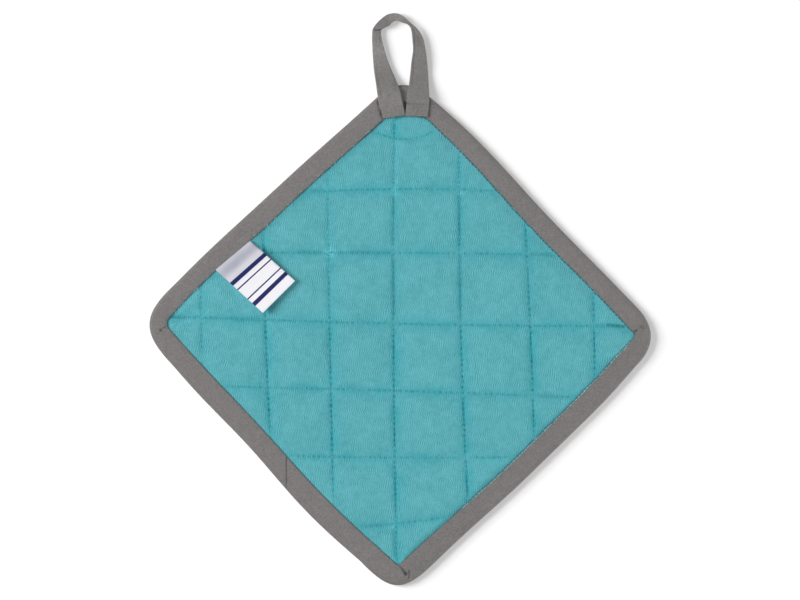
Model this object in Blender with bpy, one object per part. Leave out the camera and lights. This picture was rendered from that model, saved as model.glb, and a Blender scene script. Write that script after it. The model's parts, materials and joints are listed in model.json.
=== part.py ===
"""A square quilted pot holder with a bound edge, a hanging loop and a small side label.

The square lies flat on its back and stands on one corner, so that its loop points along +Y. Sizes in the
tables are millimetres, and millimetres() turns them into metres. The origin is on the surface that the pot
holder lies on, under the middle of the whole piece.
"""

import math
from collections import namedtuple

import bmesh
import bpy
import numpy as np
from mathutils import Vector, geometry

MM = 0.001

# The outline's corners, clockwise. The two sides would meet at x, y; the rounding starts at the distance
# reach from there, and fullness says how far the curve is drawn out towards the corner.
Corner = namedtuple("Corner", "x y reach fullness")
BINDING_OUTSIDE = {
    "top": Corner(2.4, 120.2, 17.0, 0.55),
    "right": Corner(140.9, -20.1, 22.3, 0.66),
    "bottom": Corner(-1.6, -159.3, 28.1, 0.83),
    "left": Corner(-141.7, -13.0, 30.3, 0.78),
}
BINDING_INSIDE = {
    "top": Corner(4.4, 106.6, 16.0, 0.25),
    "right": Corner(124.7, -19.7, 3.0, 0.70),
    "bottom": Corner(-1.1, -141.9, 4.0, 0.70),
    "left": Corner(-125.1, -12.9, 4.0, 0.55),
}

# How far each side wanders out from straight, as one, two, three and four half waves along it. A side is
# named by the corner that it starts from, clockwise.
Waves = namedtuple("Waves", "bow sway ripple flutter")
OUTSIDE_WAVES = {
    "top": Waves(1.15, 0.93, 0.41, 0.0),
    "right": Waves(1.9, 0.49, 0.07, 0.24),
    "bottom": Waves(1.66, 0.83, 0.53, -0.17),
    "left": Waves(0.93, 0.25, 0.08, 0.13),
}
INSIDE_WAVES = {
    "top": Waves(0.28, 0.26, 0.51, 0.0),
    "right": Waves(2.8, 0.4, 0.0, 0.23),
    "bottom": Waves(2.4, 0.72, 0.36, -0.18),
    "left": Waves(1.2, 0.25, 0.32, 0.18),
}

# The point from which the binding's bearings are counted, and how finely its outlines are followed.
MIDDLE = (0.0, -20.0)
SIDE_STEPS = 40
CORNER_STEPS = 24

# Where the binding's cross-sections stand, in degrees each side of a corner, and how many more each side has.
CORNER_BEARINGS = (1.0, 2.4, 4.2, 6.4, 9.0, 12.5)
SIDE_SECTIONS = 8

# The binding's cross-section, from its sewn edge on the face round its outer fold to the back, and then
# along its inner side. Across runs from the outer fold, 0, to the sewn edge, 1.
Spot = namedtuple("Spot", "across height")
BINDING_SKIN = (
    Spot(1.00, 4.80),
    Spot(0.82, 5.15),
    Spot(0.50, 5.20),
    Spot(0.20, 4.85),
    Spot(0.06, 4.00),
    Spot(0.00, 2.60),
    Spot(0.05, 1.00),
    Spot(0.16, 0.00),
    Spot(1.00, 0.00),
)
BINDING_LINING = (
    Spot(1.00, 1.00),
    Spot(0.26, 1.00),
    Spot(0.14, 2.50),
    Spot(0.26, 3.85),
    Spot(1.00, 3.80),
)
SEWN_EDGE = 1.0

# How high the tuck stands where the binding turns each bare corner, and how many degrees wide it is.
CORNER_TUCKS = {"right": 0.35, "bottom": 0.60, "left": 0.40}
TUCK_SPREAD = 2.0

# The quilted cloth: the heights of its two faces in a sewn channel, how far a puff stands out of each, and
# how full the puffs are. Its cut edge, and the stretch over which the puffs rise, are counted across the
# binding as above.
CHANNEL_TOP = 3.45
CHANNEL_BOTTOM = 1.35
PUFF_CROWN = 3.5
PUFF_HANG = 2.3
PUFF_FULLNESS = 0.42
CUT_EDGE = 0.42
PUFF_RISE = 0.95
RISE_FULLNESS = 0.7

# The sewn lines. A line down the cloth runs from one y to another, with its x at the start, middle and
# finish of that run, and a line across it runs from one x to another, with its y at the same three places.
Line = namedtuple("Line", "start finish at_start at_middle at_finish")
LINES_DOWN = {
    "down_1": Line(4.0, -31.0, -105.9, -105.7, -105.3),
    "down_2": Line(28.0, -69.5, -73.0, -71.0, -69.3),
    "down_3": Line(65.5, -107.5, -38.4, -37.6, -35.5),
    "down_4": Line(95.5, -139.5, -3.2, -3.8, -2.1),
    "down_5": Line(78.0, -103.0, 30.8, 31.7, 35.6),
    "down_6": Line(38.0, -73.0, 66.1, 68.8, 70.9),
    "down_7": Line(2.0, -41.5, 102.2, 102.6, 103.0),
}
LINES_ACROSS = {
    "across_1": Line(-14.5, 20.5, 89.3, 84.6, 90.2),
    "across_2": Line(-49.0, 51.0, 56.2, 58.2, 57.2),
    "across_3": Line(-84.0, 83.0, 24.3, 24.4, 23.3),
    "across_4": Line(-120.5, 118.5, -9.2, -13.2, -14.4),
    "across_5": Line(-90.5, 94.0, -46.5, -48.9, -52.3),
    "across_6": Line(-57.0, 59.5, -83.2, -84.2, -83.9),
    "across_7": Line(-21.5, 24.0, -121.0, -118.8, -116.0),
}

# Where the puffed cloth has its points: shares of the way from one sewn line to the next, degrees between
# points on its edge, and how far inside the sewn edge the points on the lines and in the puffs begin.
PUFF_SHARES = (0.0, 0.08, 0.26, 0.5, 0.74, 0.92)
RING_STEP = 5.5
LINE_MARGIN = 1.12
PUFF_MARGIN = 1.45
SAME_POINT = 0.001

# How often a crossing of two sewn lines, and a line's end on the binding, is worked out more closely.
CROSSING_ROUNDS = 6
HALVINGS = 24

# The hanging loop's tape, from its left foot round to its right foot: its outer and inner edges. It lies on the
# binding at both feet, comes down near the floor, and is drawn together to about half its width round the top.
Tape = namedtuple("Tape", "outer_x outer_y outer_z inner_x inner_y inner_z")
LOOP_ROWS = (
    Tape(-8.9, 95.5, 5.95, 2.7, 97.1, 5.95),
    Tape(-9.8, 98.7, 5.95, 2.4, 99.5, 5.95),
    Tape(-10.7, 102.2, 6.00, 1.8, 102.7, 6.00),
    Tape(-11.5, 105.3, 5.95, 1.2, 105.9, 6.00),
    Tape(-12.1, 109.0, 5.65, 0.2, 109.8, 5.90),
    Tape(-12.8, 114.1, 4.40, -1.4, 113.6, 4.80),
    Tape(-13.6, 119.6, 3.00, -3.6, 119.4, 3.50),
    Tape(-14.2, 125.5, 2.30, -6.1, 125.2, 2.90),
    Tape(-14.6, 131.8, 1.90, -8.2, 131.8, 2.70),
    Tape(-14.8, 137.1, 1.70, -9.5, 136.9, 2.60),
    Tape(-14.7, 140.3, 1.60, -10.1, 140.2, 2.60),
    Tape(-14.5, 142.5, 1.50, -10.0, 142.4, 2.60),
    Tape(-13.2, 144.8, 1.50, -8.8, 143.2, 2.80),
    Tape(-11.2, 147.1, 1.60, -7.3, 143.9, 3.00),
    Tape(-8.9, 149.1, 1.70, -5.6, 144.8, 3.30),
    Tape(-6.6, 150.6, 1.80, -4.4, 146.0, 3.50),
    Tape(-4.0, 151.2, 1.90, -3.2, 147.0, 3.70),
    Tape(-1.3, 151.1, 2.00, -1.9, 147.3, 3.80),
    Tape(1.3, 149.9, 2.20, -0.6, 147.1, 3.90),
    Tape(3.3, 148.1, 2.40, 1.4, 146.2, 3.90),
    Tape(5.3, 146.3, 2.60, 3.6, 145.7, 3.80),
    Tape(7.9, 144.1, 2.80, 5.2, 144.3, 3.70),
    Tape(10.5, 141.4, 2.90, 6.1, 141.6, 3.60),
    Tape(12.4, 137.5, 3.00, 6.5, 137.4, 3.40),
    Tape(13.6, 131.8, 3.20, 6.9, 131.9, 3.30),
    Tape(14.4, 125.5, 3.50, 6.0, 125.4, 3.50),
    Tape(14.9, 119.1, 3.90, 5.4, 119.2, 4.00),
    Tape(15.3, 112.8, 4.75, 4.7, 113.4, 5.00),
    Tape(15.5, 107.2, 5.75, 3.8, 107.8, 5.90),
    Tape(15.3, 102.2, 6.00, 3.2, 102.8, 6.00),
    Tape(14.9, 98.2, 5.95, 2.9, 98.7, 5.95),
    Tape(14.8, 96.3, 5.95, 2.8, 96.9, 5.95),
)
LOOP_STEPS = 2
TAPE_THICKNESS = 1.3
TAPE_ROUNDING = 0.45

# The folded label. Its four corners in the view from above, and its height over the surface by its share of
# the way from the binding to its free end.
LABEL_CORNERS = {
    "sewn_top": (-79.2, 29.6),
    "sewn_left": (-96.5, 14.6),
    "free_bottom": (-72.9, -7.2),
    "free_right": (-55.8, 9.8),
}
Lie = namedtuple("Lie", "share height")
LABEL_ROWS = (
    Lie(0.00, 5.1),
    Lie(0.08, 6.4),
    Lie(0.20, 7.5),
    Lie(0.40, 7.9),
    Lie(0.60, 7.9),
    Lie(0.80, 8.1),
    Lie(1.00, 8.6),
)
LABEL_COLUMNS = 5
LABEL_THICKNESS = 1.0

# Each cloth's colour, and how matt it is.
Cloth = namedtuple("Cloth", "red green blue roughness")
CLOTHS = {
    "quilted_panel": Cloth(0.105, 0.400, 0.445, 0.90),
    "edge_binding": Cloth(0.200, 0.190, 0.185, 0.88),
    "hanging_loop": Cloth(0.205, 0.195, 0.190, 0.88),
    "side_label": Cloth(0.800, 0.790, 0.820, 0.45),
}
SHARP_ANGLE = 50.0


def millimetres(values):
    """The same places or sizes in metres."""
    return np.asarray(values, float) * MM


def clear_scene():
    """Remove every object that is already there."""
    for thing in list(bpy.data.objects):
        bpy.data.objects.remove(thing, do_unlink=True)


def cloth_material(name):
    """The plain cloth of one sub-part."""
    cloth = CLOTHS[name]
    material = bpy.data.materials.new(name)
    material.use_nodes = True
    shader = material.node_tree.nodes["Principled BSDF"]
    shader.inputs["Base Color"].default_value = (cloth.red, cloth.green, cloth.blue, 1.0)
    shader.inputs["Roughness"].default_value = cloth.roughness
    shader.inputs["Metallic"].default_value = 0.0
    return material


def add_part(name, bm, parent):
    """Turn a finished bmesh into the named sub-part, shaded smooth."""
    bmesh.ops.recalc_face_normals(bm, faces=bm.faces)
    mesh = bpy.data.meshes.new(name)
    bm.to_mesh(mesh)
    bm.free()
    mesh.shade_smooth()
    mesh.set_sharp_from_angle(angle=math.radians(SHARP_ANGLE))
    mesh.materials.append(cloth_material(name))
    part = bpy.data.objects.new(name, mesh)
    part.parent = parent
    bpy.context.collection.objects.link(part)
    return part


def side(start, finish, waves):
    """Points along one side, wandering outwards from the straight by its waves."""
    share = np.linspace(0.0, 1.0, SIDE_STEPS)
    along = (finish - start) / np.linalg.norm(finish - start)
    outwards = np.array((-along[1], along[0]))
    wander = sum(size * np.sin(count * math.pi * share) for count, size in enumerate(millimetres(waves), 1))
    return start + np.outer(share, finish - start) + np.outer(wander, outwards)


def rounding(corner, before, after, fullness):
    """Points round one corner, from the end of one side to the start of the next."""
    share = np.linspace(0.0, 1.0, CORNER_STEPS)[1:-1, None]
    first_handle = before + (corner - before) * fullness
    last_handle = after + (corner - after) * fullness
    return (
        (1 - share) ** 3 * before
        + 3 * (1 - share) ** 2 * share * first_handle
        + 3 * (1 - share) * share**2 * last_handle
        + share**3 * after
    )


def outline(corners, waves):
    """The closed outline with these corners and sides, clockwise."""
    names = list(corners)
    places = [millimetres((corner.x, corner.y)) for corner in corners.values()]
    points = []
    for number, name in enumerate(names):
        following = corners[names[(number + 1) % len(names)]]
        place, target, beyond = (places[(number + step) % len(names)] for step in range(3))
        along = (target - place) / np.linalg.norm(target - place)
        onwards = (beyond - target) / np.linalg.norm(beyond - target)
        start = place + along * corners[name].reach * MM
        finish = target - along * following.reach * MM
        points.append(side(start, finish, waves[name]))
        points.append(rounding(target, finish, target + onwards * following.reach * MM, following.fullness))
    return np.concatenate(points)


def bearing(points):
    """The direction of each point from the middle, in radians."""
    arms = np.asarray(points) - millimetres(MIDDLE)
    return np.arctan2(arms[..., 1], arms[..., 0])


def distance(points):
    """How far each point lies from the middle."""
    return np.linalg.norm(np.asarray(points) - millimetres(MIDDLE), axis=-1)


OUTSIDE = outline(BINDING_OUTSIDE, OUTSIDE_WAVES)
INSIDE = outline(BINDING_INSIDE, INSIDE_WAVES)


def edges_at(bearings):
    """The binding's outer fold and its sewn edge, as distances from the middle on each bearing."""
    outer = np.interp(bearings, bearing(OUTSIDE), distance(OUTSIDE), period=2 * math.pi)
    inner = np.interp(bearings, bearing(INSIDE), distance(INSIDE), period=2 * math.pi)
    return outer, inner


def on_band(bearings, across):
    """Points on each bearing at a share of the way from the outer fold, 0, to the sewn edge, 1."""
    outer, inner = edges_at(bearings)
    arm = outer + (inner - outer) * across
    directions = np.stack((np.cos(bearings), np.sin(bearings)), axis=-1)
    return millimetres(MIDDLE) + directions * arm[..., None]


def across_at(points):
    """How far across the band each point lies: 0 on the outer fold, 1 on the sewn edge, more inside it."""
    outer, inner = edges_at(bearing(points))
    return (outer - distance(points)) / (outer - inner)


def corner_bearings():
    """The bearing of each corner of the sewn edge, by name."""
    places = {name: millimetres((corner.x, corner.y)) for name, corner in BINDING_INSIDE.items()}
    return {name: float(bearing(place)) for name, place in places.items()}


def section_bearings():
    """The bearings of the binding's cross-sections, close together at the corners."""
    corners = sorted(corner_bearings().values())
    spread = np.radians(CORNER_BEARINGS)
    bearings = []
    for number, corner in enumerate(corners):
        following = corners[(number + 1) % len(corners)] + (2 * math.pi if number == len(corners) - 1 else 0)
        bearings += [corner, *(corner + spread)]
        first, last = corner + spread[-1], following - spread[-1]
        bearings += list(np.linspace(first, last, SIDE_SECTIONS + 2)[1:-1])
        bearings += list((following - spread)[::-1])
    return np.array(bearings)


def tuck_heights(bearings):
    """How much the folded tucks raise the binding on each bearing."""
    raised = np.zeros(len(bearings))
    for name, place in corner_bearings().items():
        turn = np.degrees(np.angle(np.exp(1j * (bearings - place))))
        raised += CORNER_TUCKS.get(name, 0.0) * MM * np.exp(-((turn / TUCK_SPREAD) ** 2))
    return raised


def build_binding(parent):
    """The tape folded over the cut edge all round, as one ring with a slot for the quilted cloth."""
    bearings = section_bearings()
    tucks = tuck_heights(bearings)
    profile = BINDING_SKIN + BINDING_LINING
    bm = bmesh.new()
    loops = []
    for number, spot in enumerate(profile):
        on_face = number < len(BINDING_SKIN) and spot.height > CHANNEL_TOP
        heights = spot.height * MM + tucks * on_face
        places = on_band(bearings, spot.across)
        loops.append([bm.verts.new((x, y, z)) for (x, y), z in zip(places, heights)])
    count = len(bearings)
    for number, loop in enumerate(loops):
        following = loops[(number + 1) % len(loops)]
        for station in range(count):
            onwards = (station + 1) % count
            bm.faces.new((loop[station], loop[onwards], following[onwards], following[station]))
    return add_part("edge_binding", bm, parent)


def along_line(line, place):
    """Where a sewn line runs at a place along it: a smooth curve through its three values, then level."""
    start, finish, at_start, at_middle, at_finish = millimetres(line)
    share = min(max((place - start) / (finish - start), 0.0), 1.0)
    ends = at_start * (1 - share) * (1 - 2 * share) + at_finish * share * (2 * share - 1)
    return ends + at_middle * 4 * share * (1 - share)


def line_family(family, place):
    """Where all the lines of one family run at this place, with one more beyond each end of the family."""
    lines = np.array([along_line(line, place) for line in family.values()])
    return np.concatenate(([2 * lines[0] - lines[1]], lines, [2 * lines[-1] - lines[-2]]))


def lattice_point(down, across):
    """The point at fractional line numbers down and across, 0 being the line beyond the first."""
    x, y = 0.0, 0.0
    for _ in range(CROSSING_ROUNDS):
        x = np.interp(down, range(len(LINES_DOWN) + 2), line_family(LINES_DOWN, y))
        y = np.interp(across, range(len(LINES_ACROSS) + 2), line_family(LINES_ACROSS, x))
    return np.array((x, y))


def puff_at(point):
    """How full the padding is at a point: 0 on a sewn line or at the binding, 1 on the top of a puff."""
    downs = line_family(LINES_DOWN, point[1])
    acrosses = line_family(LINES_ACROSS, point[0])[::-1]
    crown = 1.0
    for lines, value in ((downs, point[0]), (acrosses, point[1])):
        number = int(np.clip(np.searchsorted(lines, value) - 1, 0, len(lines) - 2))
        share = np.clip((value - lines[number]) / (lines[number + 1] - lines[number]), 0.0, 1.0)
        crown *= (4 * share * (1 - share)) ** PUFF_FULLNESS
    rise = np.clip((across_at(point) - SEWN_EDGE) / PUFF_RISE, 0.0, 1.0)
    return crown * math.sin(rise * math.pi / 2) ** RISE_FULLNESS


def panel_top(point):
    """The height of the quilted cloth's face at a point."""
    return (CHANNEL_TOP + PUFF_CROWN * puff_at(point)) * MM


def panel_bottom(point):
    """The height of the quilted cloth's back, flat where a puff meets the surface."""
    return max(0.0, CHANNEL_BOTTOM - PUFF_HANG * puff_at(point)) * MM


def line_end(inside, outside):
    """Where a sewn line meets the binding's sewn edge, between two of its points."""
    for _ in range(HALVINGS):
        halfway = (inside + outside) / 2
        if across_at(halfway) > SEWN_EDGE:
            inside = halfway
        else:
            outside = halfway
    return halfway


def sewn_stretch(points):
    """The points of one sewn line that lie well inside the binding, and its two ends on the sewn edge."""
    kept = [number for number, point in enumerate(points) if across_at(point) > LINE_MARGIN]
    first, last = kept[0], kept[-1]
    start = line_end(points[first], points[first - 1])
    finish = line_end(points[last], points[last + 1])
    return start, points[first : last + 1], finish


def sewn_lines():
    """Every sewn line as its two ends and the points between them."""
    shares = [number + share for number in range(len(LINES_DOWN) + 1) for share in PUFF_SHARES]
    downs = [[lattice_point(line, share) for share in shares] for line in range(1, len(LINES_DOWN) + 1)]
    acrosses = [[lattice_point(share, line) for share in shares] for line in range(1, len(LINES_ACROSS) + 1)]
    return [sewn_stretch(points) for points in downs + acrosses]


def puff_points():
    """The points of the puffs between the sewn lines, well inside the binding."""
    shares = [number + share for number in range(len(LINES_DOWN) + 1) for share in PUFF_SHARES if share > 0]
    points = [lattice_point(down, across) for down in shares for across in shares]
    return [point for point in points if across_at(point) > PUFF_MARGIN]


def ring_bearings(ends):
    """Bearings for the cloth's rings: each sewn line's end, each corner, and steps between them."""
    marks = sorted({float(bearing(end)) for end in ends} | set(corner_bearings().values()))
    bearings = []
    for number, mark in enumerate(marks):
        following = marks[(number + 1) % len(marks)] + (2 * math.pi if number == len(marks) - 1 else 0)
        steps = max(1, math.ceil(math.degrees(following - mark) / RING_STEP))
        bearings += [mark + (following - mark) * step / steps for step in range(steps)]
    return np.array(bearings)


def nearest_bearing(bearings, point):
    """The number of the bearing that points to this point."""
    turns = np.angle(np.exp(1j * (bearings - bearing(point))))
    return int(np.argmin(np.abs(turns)))


def plan_panel():
    """The quilted cloth seen from above, as points and triangles that follow its sewn lines."""
    lines = sewn_lines()
    bearings = ring_bearings([end for start, _, finish in lines for end in (start, finish)])
    count = len(bearings)
    points = [*on_band(bearings, CUT_EDGE), *on_band(bearings, SEWN_EDGE)]
    edges = [(number, (number + 1) % count) for number in range(count)]
    edges += [(count + number, count + (number + 1) % count) for number in range(count)]
    for start, between, finish in lines:
        first, last = (count + nearest_bearing(bearings, end) for end in (start, finish))
        numbers = [first, *range(len(points), len(points) + len(between)), last]
        points += between
        edges += zip(numbers[:-1], numbers[1:])
    points += puff_points()
    flat = [Vector(point) for point in points]
    inside_outline = 1
    plan = geometry.delaunay_2d_cdt(flat, edges, [list(range(count))], inside_outline, SAME_POINT * MM)
    return plan[0], plan[2]


def build_panel(parent):
    """The quilted cloth, one filled solid with its sewn channels on both faces."""
    points, triangles = plan_panel()
    bm = bmesh.new()
    tops = [bm.verts.new((point.x, point.y, panel_top(np.array(point)))) for point in points]
    bottoms = [bm.verts.new((point.x, point.y, panel_bottom(np.array(point)))) for point in points]
    for triangle in triangles:
        bm.faces.new([tops[corner] for corner in triangle])
        bm.faces.new([bottoms[corner] for corner in reversed(triangle)])
    bmesh.ops.bridge_loops(bm, edges=[edge for edge in bm.edges if edge.is_boundary])
    return add_part("quilted_panel", bm, parent)


def smooth_rows(rows, steps):
    """More rows between the given ones, on a smooth curve through them."""
    rows = np.array(rows, float)
    padded = np.vstack((2 * rows[0] - rows[1], rows, 2 * rows[-1] - rows[-2]))
    filled = []
    for number in range(len(rows) - 1):
        before, start, finish, after = padded[number : number + 4]
        for step in range(steps):
            share = step / steps
            filled.append(
                0.5
                * (
                    2 * start
                    + (finish - before) * share
                    + (2 * before - 5 * start + 4 * finish - after) * share**2
                    + (3 * start - before - 3 * finish + after) * share**3
                )
            )
    filled.append(rows[-1])
    return np.array(filled)


def tape_section(half_width):
    """The tape's cross-section with eased corners, as places along its width and through its thickness."""
    half_thick, ease = TAPE_THICKNESS * MM / 2, TAPE_ROUNDING * MM
    quarter = ((half_width - ease, half_thick), (half_width, half_thick - ease))
    turns = ((1, 1), (1, -1), (-1, -1), (-1, 1))
    section = []
    for number, (across, through) in enumerate(turns):
        corner = quarter if number % 2 == 0 else quarter[::-1]
        section += [(across * wide, through * thick) for wide, thick in corner]
    return section


def build_loop(parent):
    """The hanging loop: one tape that lies on the binding, runs out over the floor, and comes back."""
    rows = [Tape(*row) for row in smooth_rows(LOOP_ROWS, LOOP_STEPS)]
    outer = [Vector((row.outer_x, row.outer_y, row.outer_z)) * MM for row in rows]
    inner = [Vector((row.inner_x, row.inner_y, row.inner_z)) * MM for row in rows]
    path = [(out + into) / 2 for out, into in zip(outer, inner)]
    bm = bmesh.new()
    rings = []
    for number, (out, into) in enumerate(zip(outer, inner)):
        along = (path[min(number + 1, len(path) - 1)] - path[max(number - 1, 0)]).normalized()
        width = (into - out).normalized()
        through = width.cross(along).normalized()
        section = tape_section((into - out).length / 2)
        rings.append([bm.verts.new(path[number] + width * w + through * t) for w, t in section])
    for ring, following in zip(rings[:-1], rings[1:]):
        for corner in range(len(ring)):
            onwards = (corner + 1) % len(ring)
            bm.faces.new((ring[corner], ring[onwards], following[onwards], following[corner]))
    bm.faces.new(rings[0][::-1])
    bm.faces.new(rings[-1])
    return add_part("hanging_loop", bm, parent)


def build_label(parent):
    """The folded label, sewn in at the binding and lying over the puffs with its free end a little up."""
    corners = {name: Vector(place) * MM for name, place in LABEL_CORNERS.items()}
    bm = bmesh.new()
    rows = []
    for lie in LABEL_ROWS:
        left = corners["sewn_left"].lerp(corners["free_bottom"], lie.share)
        right = corners["sewn_top"].lerp(corners["free_right"], lie.share)
        places = [left.lerp(right, column / (LABEL_COLUMNS - 1)) for column in range(LABEL_COLUMNS)]
        rows.append([bm.verts.new((place.x, place.y, lie.height * MM)) for place in places])
    for row, following in zip(rows[:-1], rows[1:]):
        for column in range(LABEL_COLUMNS - 1):
            bm.faces.new((row[column], following[column], following[column + 1], row[column + 1]))
    label = add_part("side_label", bm, parent)
    solidify = label.modifiers.new("folded_thickness", "SOLIDIFY")
    solidify.thickness = LABEL_THICKNESS * MM
    solidify.offset = 0.0
    solidify.use_even_offset = True
    return label


def main():
    """Build the pot holder's four pieces under one empty."""
    clear_scene()
    holder = bpy.data.objects.new("pot_holder", None)
    bpy.context.collection.objects.link(holder)
    build_panel(holder)
    build_binding(holder)
    build_loop(holder)
    build_label(holder)


main()
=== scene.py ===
"""The looks of a square quilted pot holder with a bound edge, a hanging loop and a small side label.

Sizes and places in the tables are millimetres in the frame's axes, and millimetres() makes them metres.
The pot holder lies on the floor at height 0, its loop points along +Y, and the camera looks straight down.
"""

import json
import math
from collections import namedtuple
from functools import reduce

import bmesh
import bpy
import numpy as np
from mathutils import Vector, noise
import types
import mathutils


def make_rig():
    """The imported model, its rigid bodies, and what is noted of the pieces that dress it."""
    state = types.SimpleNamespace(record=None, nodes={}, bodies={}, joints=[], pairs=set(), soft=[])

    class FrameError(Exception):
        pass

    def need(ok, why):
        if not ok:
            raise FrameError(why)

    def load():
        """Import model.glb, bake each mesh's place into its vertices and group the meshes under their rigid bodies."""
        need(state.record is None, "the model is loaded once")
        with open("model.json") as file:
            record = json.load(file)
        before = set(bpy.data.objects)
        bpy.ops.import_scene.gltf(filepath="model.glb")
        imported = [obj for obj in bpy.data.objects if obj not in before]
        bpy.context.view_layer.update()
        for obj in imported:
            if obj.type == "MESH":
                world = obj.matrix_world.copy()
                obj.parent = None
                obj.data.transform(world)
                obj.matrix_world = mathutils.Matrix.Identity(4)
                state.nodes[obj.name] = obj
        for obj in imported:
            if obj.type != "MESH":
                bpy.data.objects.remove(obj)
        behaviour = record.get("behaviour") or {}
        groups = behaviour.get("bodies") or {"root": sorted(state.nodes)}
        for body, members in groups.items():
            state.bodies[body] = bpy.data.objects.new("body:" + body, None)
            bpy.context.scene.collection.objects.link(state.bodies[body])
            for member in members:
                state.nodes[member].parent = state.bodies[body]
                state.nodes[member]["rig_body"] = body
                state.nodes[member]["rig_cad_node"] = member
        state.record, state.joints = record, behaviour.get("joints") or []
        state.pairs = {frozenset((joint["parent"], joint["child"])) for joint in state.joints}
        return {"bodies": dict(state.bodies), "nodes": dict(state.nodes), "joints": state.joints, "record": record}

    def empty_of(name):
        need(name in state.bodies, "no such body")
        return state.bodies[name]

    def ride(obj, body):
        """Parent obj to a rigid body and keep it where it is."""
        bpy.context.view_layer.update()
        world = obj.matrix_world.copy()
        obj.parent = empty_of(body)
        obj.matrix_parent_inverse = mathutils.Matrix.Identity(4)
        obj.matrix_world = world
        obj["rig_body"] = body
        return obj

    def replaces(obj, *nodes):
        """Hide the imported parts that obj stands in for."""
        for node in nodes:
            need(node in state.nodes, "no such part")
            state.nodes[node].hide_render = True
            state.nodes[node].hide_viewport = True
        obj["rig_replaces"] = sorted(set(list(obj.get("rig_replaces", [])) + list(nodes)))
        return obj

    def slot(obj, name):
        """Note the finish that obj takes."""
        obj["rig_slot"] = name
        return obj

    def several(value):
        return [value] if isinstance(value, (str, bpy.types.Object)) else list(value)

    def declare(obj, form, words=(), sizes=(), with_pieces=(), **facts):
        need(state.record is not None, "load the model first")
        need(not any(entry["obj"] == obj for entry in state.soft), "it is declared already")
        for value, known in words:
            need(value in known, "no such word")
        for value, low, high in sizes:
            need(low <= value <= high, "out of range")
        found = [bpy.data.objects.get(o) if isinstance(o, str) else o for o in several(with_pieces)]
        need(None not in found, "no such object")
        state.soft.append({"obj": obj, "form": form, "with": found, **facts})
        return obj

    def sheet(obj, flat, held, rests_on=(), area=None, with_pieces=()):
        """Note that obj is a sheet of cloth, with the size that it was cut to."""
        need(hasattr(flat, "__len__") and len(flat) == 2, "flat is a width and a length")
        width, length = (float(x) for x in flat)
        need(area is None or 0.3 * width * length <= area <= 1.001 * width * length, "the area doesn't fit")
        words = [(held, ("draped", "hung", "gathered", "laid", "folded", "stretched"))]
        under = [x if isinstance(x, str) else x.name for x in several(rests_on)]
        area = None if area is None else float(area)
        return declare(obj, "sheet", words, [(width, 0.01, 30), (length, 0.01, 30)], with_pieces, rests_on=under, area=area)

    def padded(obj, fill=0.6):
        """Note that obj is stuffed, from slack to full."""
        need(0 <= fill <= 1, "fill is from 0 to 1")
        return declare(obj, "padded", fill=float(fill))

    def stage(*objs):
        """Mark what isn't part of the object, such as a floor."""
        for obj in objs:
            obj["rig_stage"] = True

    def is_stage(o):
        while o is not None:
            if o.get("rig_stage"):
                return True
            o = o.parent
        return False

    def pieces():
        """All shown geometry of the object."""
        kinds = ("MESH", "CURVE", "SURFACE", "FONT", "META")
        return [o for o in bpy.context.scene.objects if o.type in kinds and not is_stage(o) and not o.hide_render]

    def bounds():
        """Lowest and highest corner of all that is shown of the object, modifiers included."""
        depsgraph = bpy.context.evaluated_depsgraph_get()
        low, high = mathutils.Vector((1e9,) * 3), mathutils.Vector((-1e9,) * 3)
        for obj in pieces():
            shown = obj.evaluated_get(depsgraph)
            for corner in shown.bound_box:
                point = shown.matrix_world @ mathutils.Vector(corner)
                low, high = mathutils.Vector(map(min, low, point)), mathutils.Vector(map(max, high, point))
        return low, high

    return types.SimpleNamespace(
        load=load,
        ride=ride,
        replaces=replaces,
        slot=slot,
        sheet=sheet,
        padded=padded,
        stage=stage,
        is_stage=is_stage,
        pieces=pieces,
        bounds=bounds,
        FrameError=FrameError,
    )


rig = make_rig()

MM = 0.001
SIZE_FILE = "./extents.json"

# The binding's outer fold and sewn edge, clockwise: where two sides would meet, where the rounding
# starts, and how full it is. The waves are one, two, three and four half waves along the side that
# follows the corner.
Corner = namedtuple("Corner", "x y reach fullness")
Waves = namedtuple("Waves", "bow sway ripple flutter")
BINDING_OUTSIDE = {
    "top": Corner(2.4, 120.2, 17.0, 0.55),
    "right": Corner(140.9, -20.1, 22.3, 0.66),
    "bottom": Corner(-1.6, -159.3, 28.1, 0.83),
    "left": Corner(-141.7, -13.0, 30.3, 0.78),
}
BINDING_INSIDE = {
    "top": Corner(3.7, 106.8, 16.0, 0.25),
    "right": Corner(125.3, -19.4, 1.6, 0.70),
    "bottom": Corner(-0.9, -141.7, 1.4, 0.70),
    "left": Corner(-125.4, -12.7, 4.5, 0.60),
}
OUTSIDE_WAVES = {
    "top": Waves(1.15, 0.93, 0.41, 0.0),
    "right": Waves(1.9, 0.49, 0.07, 0.24),
    "bottom": Waves(1.66, 0.83, 0.53, -0.17),
    "left": Waves(0.93, 0.25, 0.08, 0.13),
}
INSIDE_WAVES = {
    "top": Waves(0.28, 0.26, 0.51, 0.0),
    "right": Waves(2.8, 0.4, 0.0, 0.23),
    "bottom": Waves(2.4, 0.72, 0.36, -0.18),
    "left": Waves(1.04, 0.36, 0.39, 0.32),
}
MIDDLE = (0.0, -20.0)
SIDE_STEPS = 60
CORNER_STEPS = 40
RING_STEPS = 4000
SEWN_EDGE = 1.0

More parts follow.
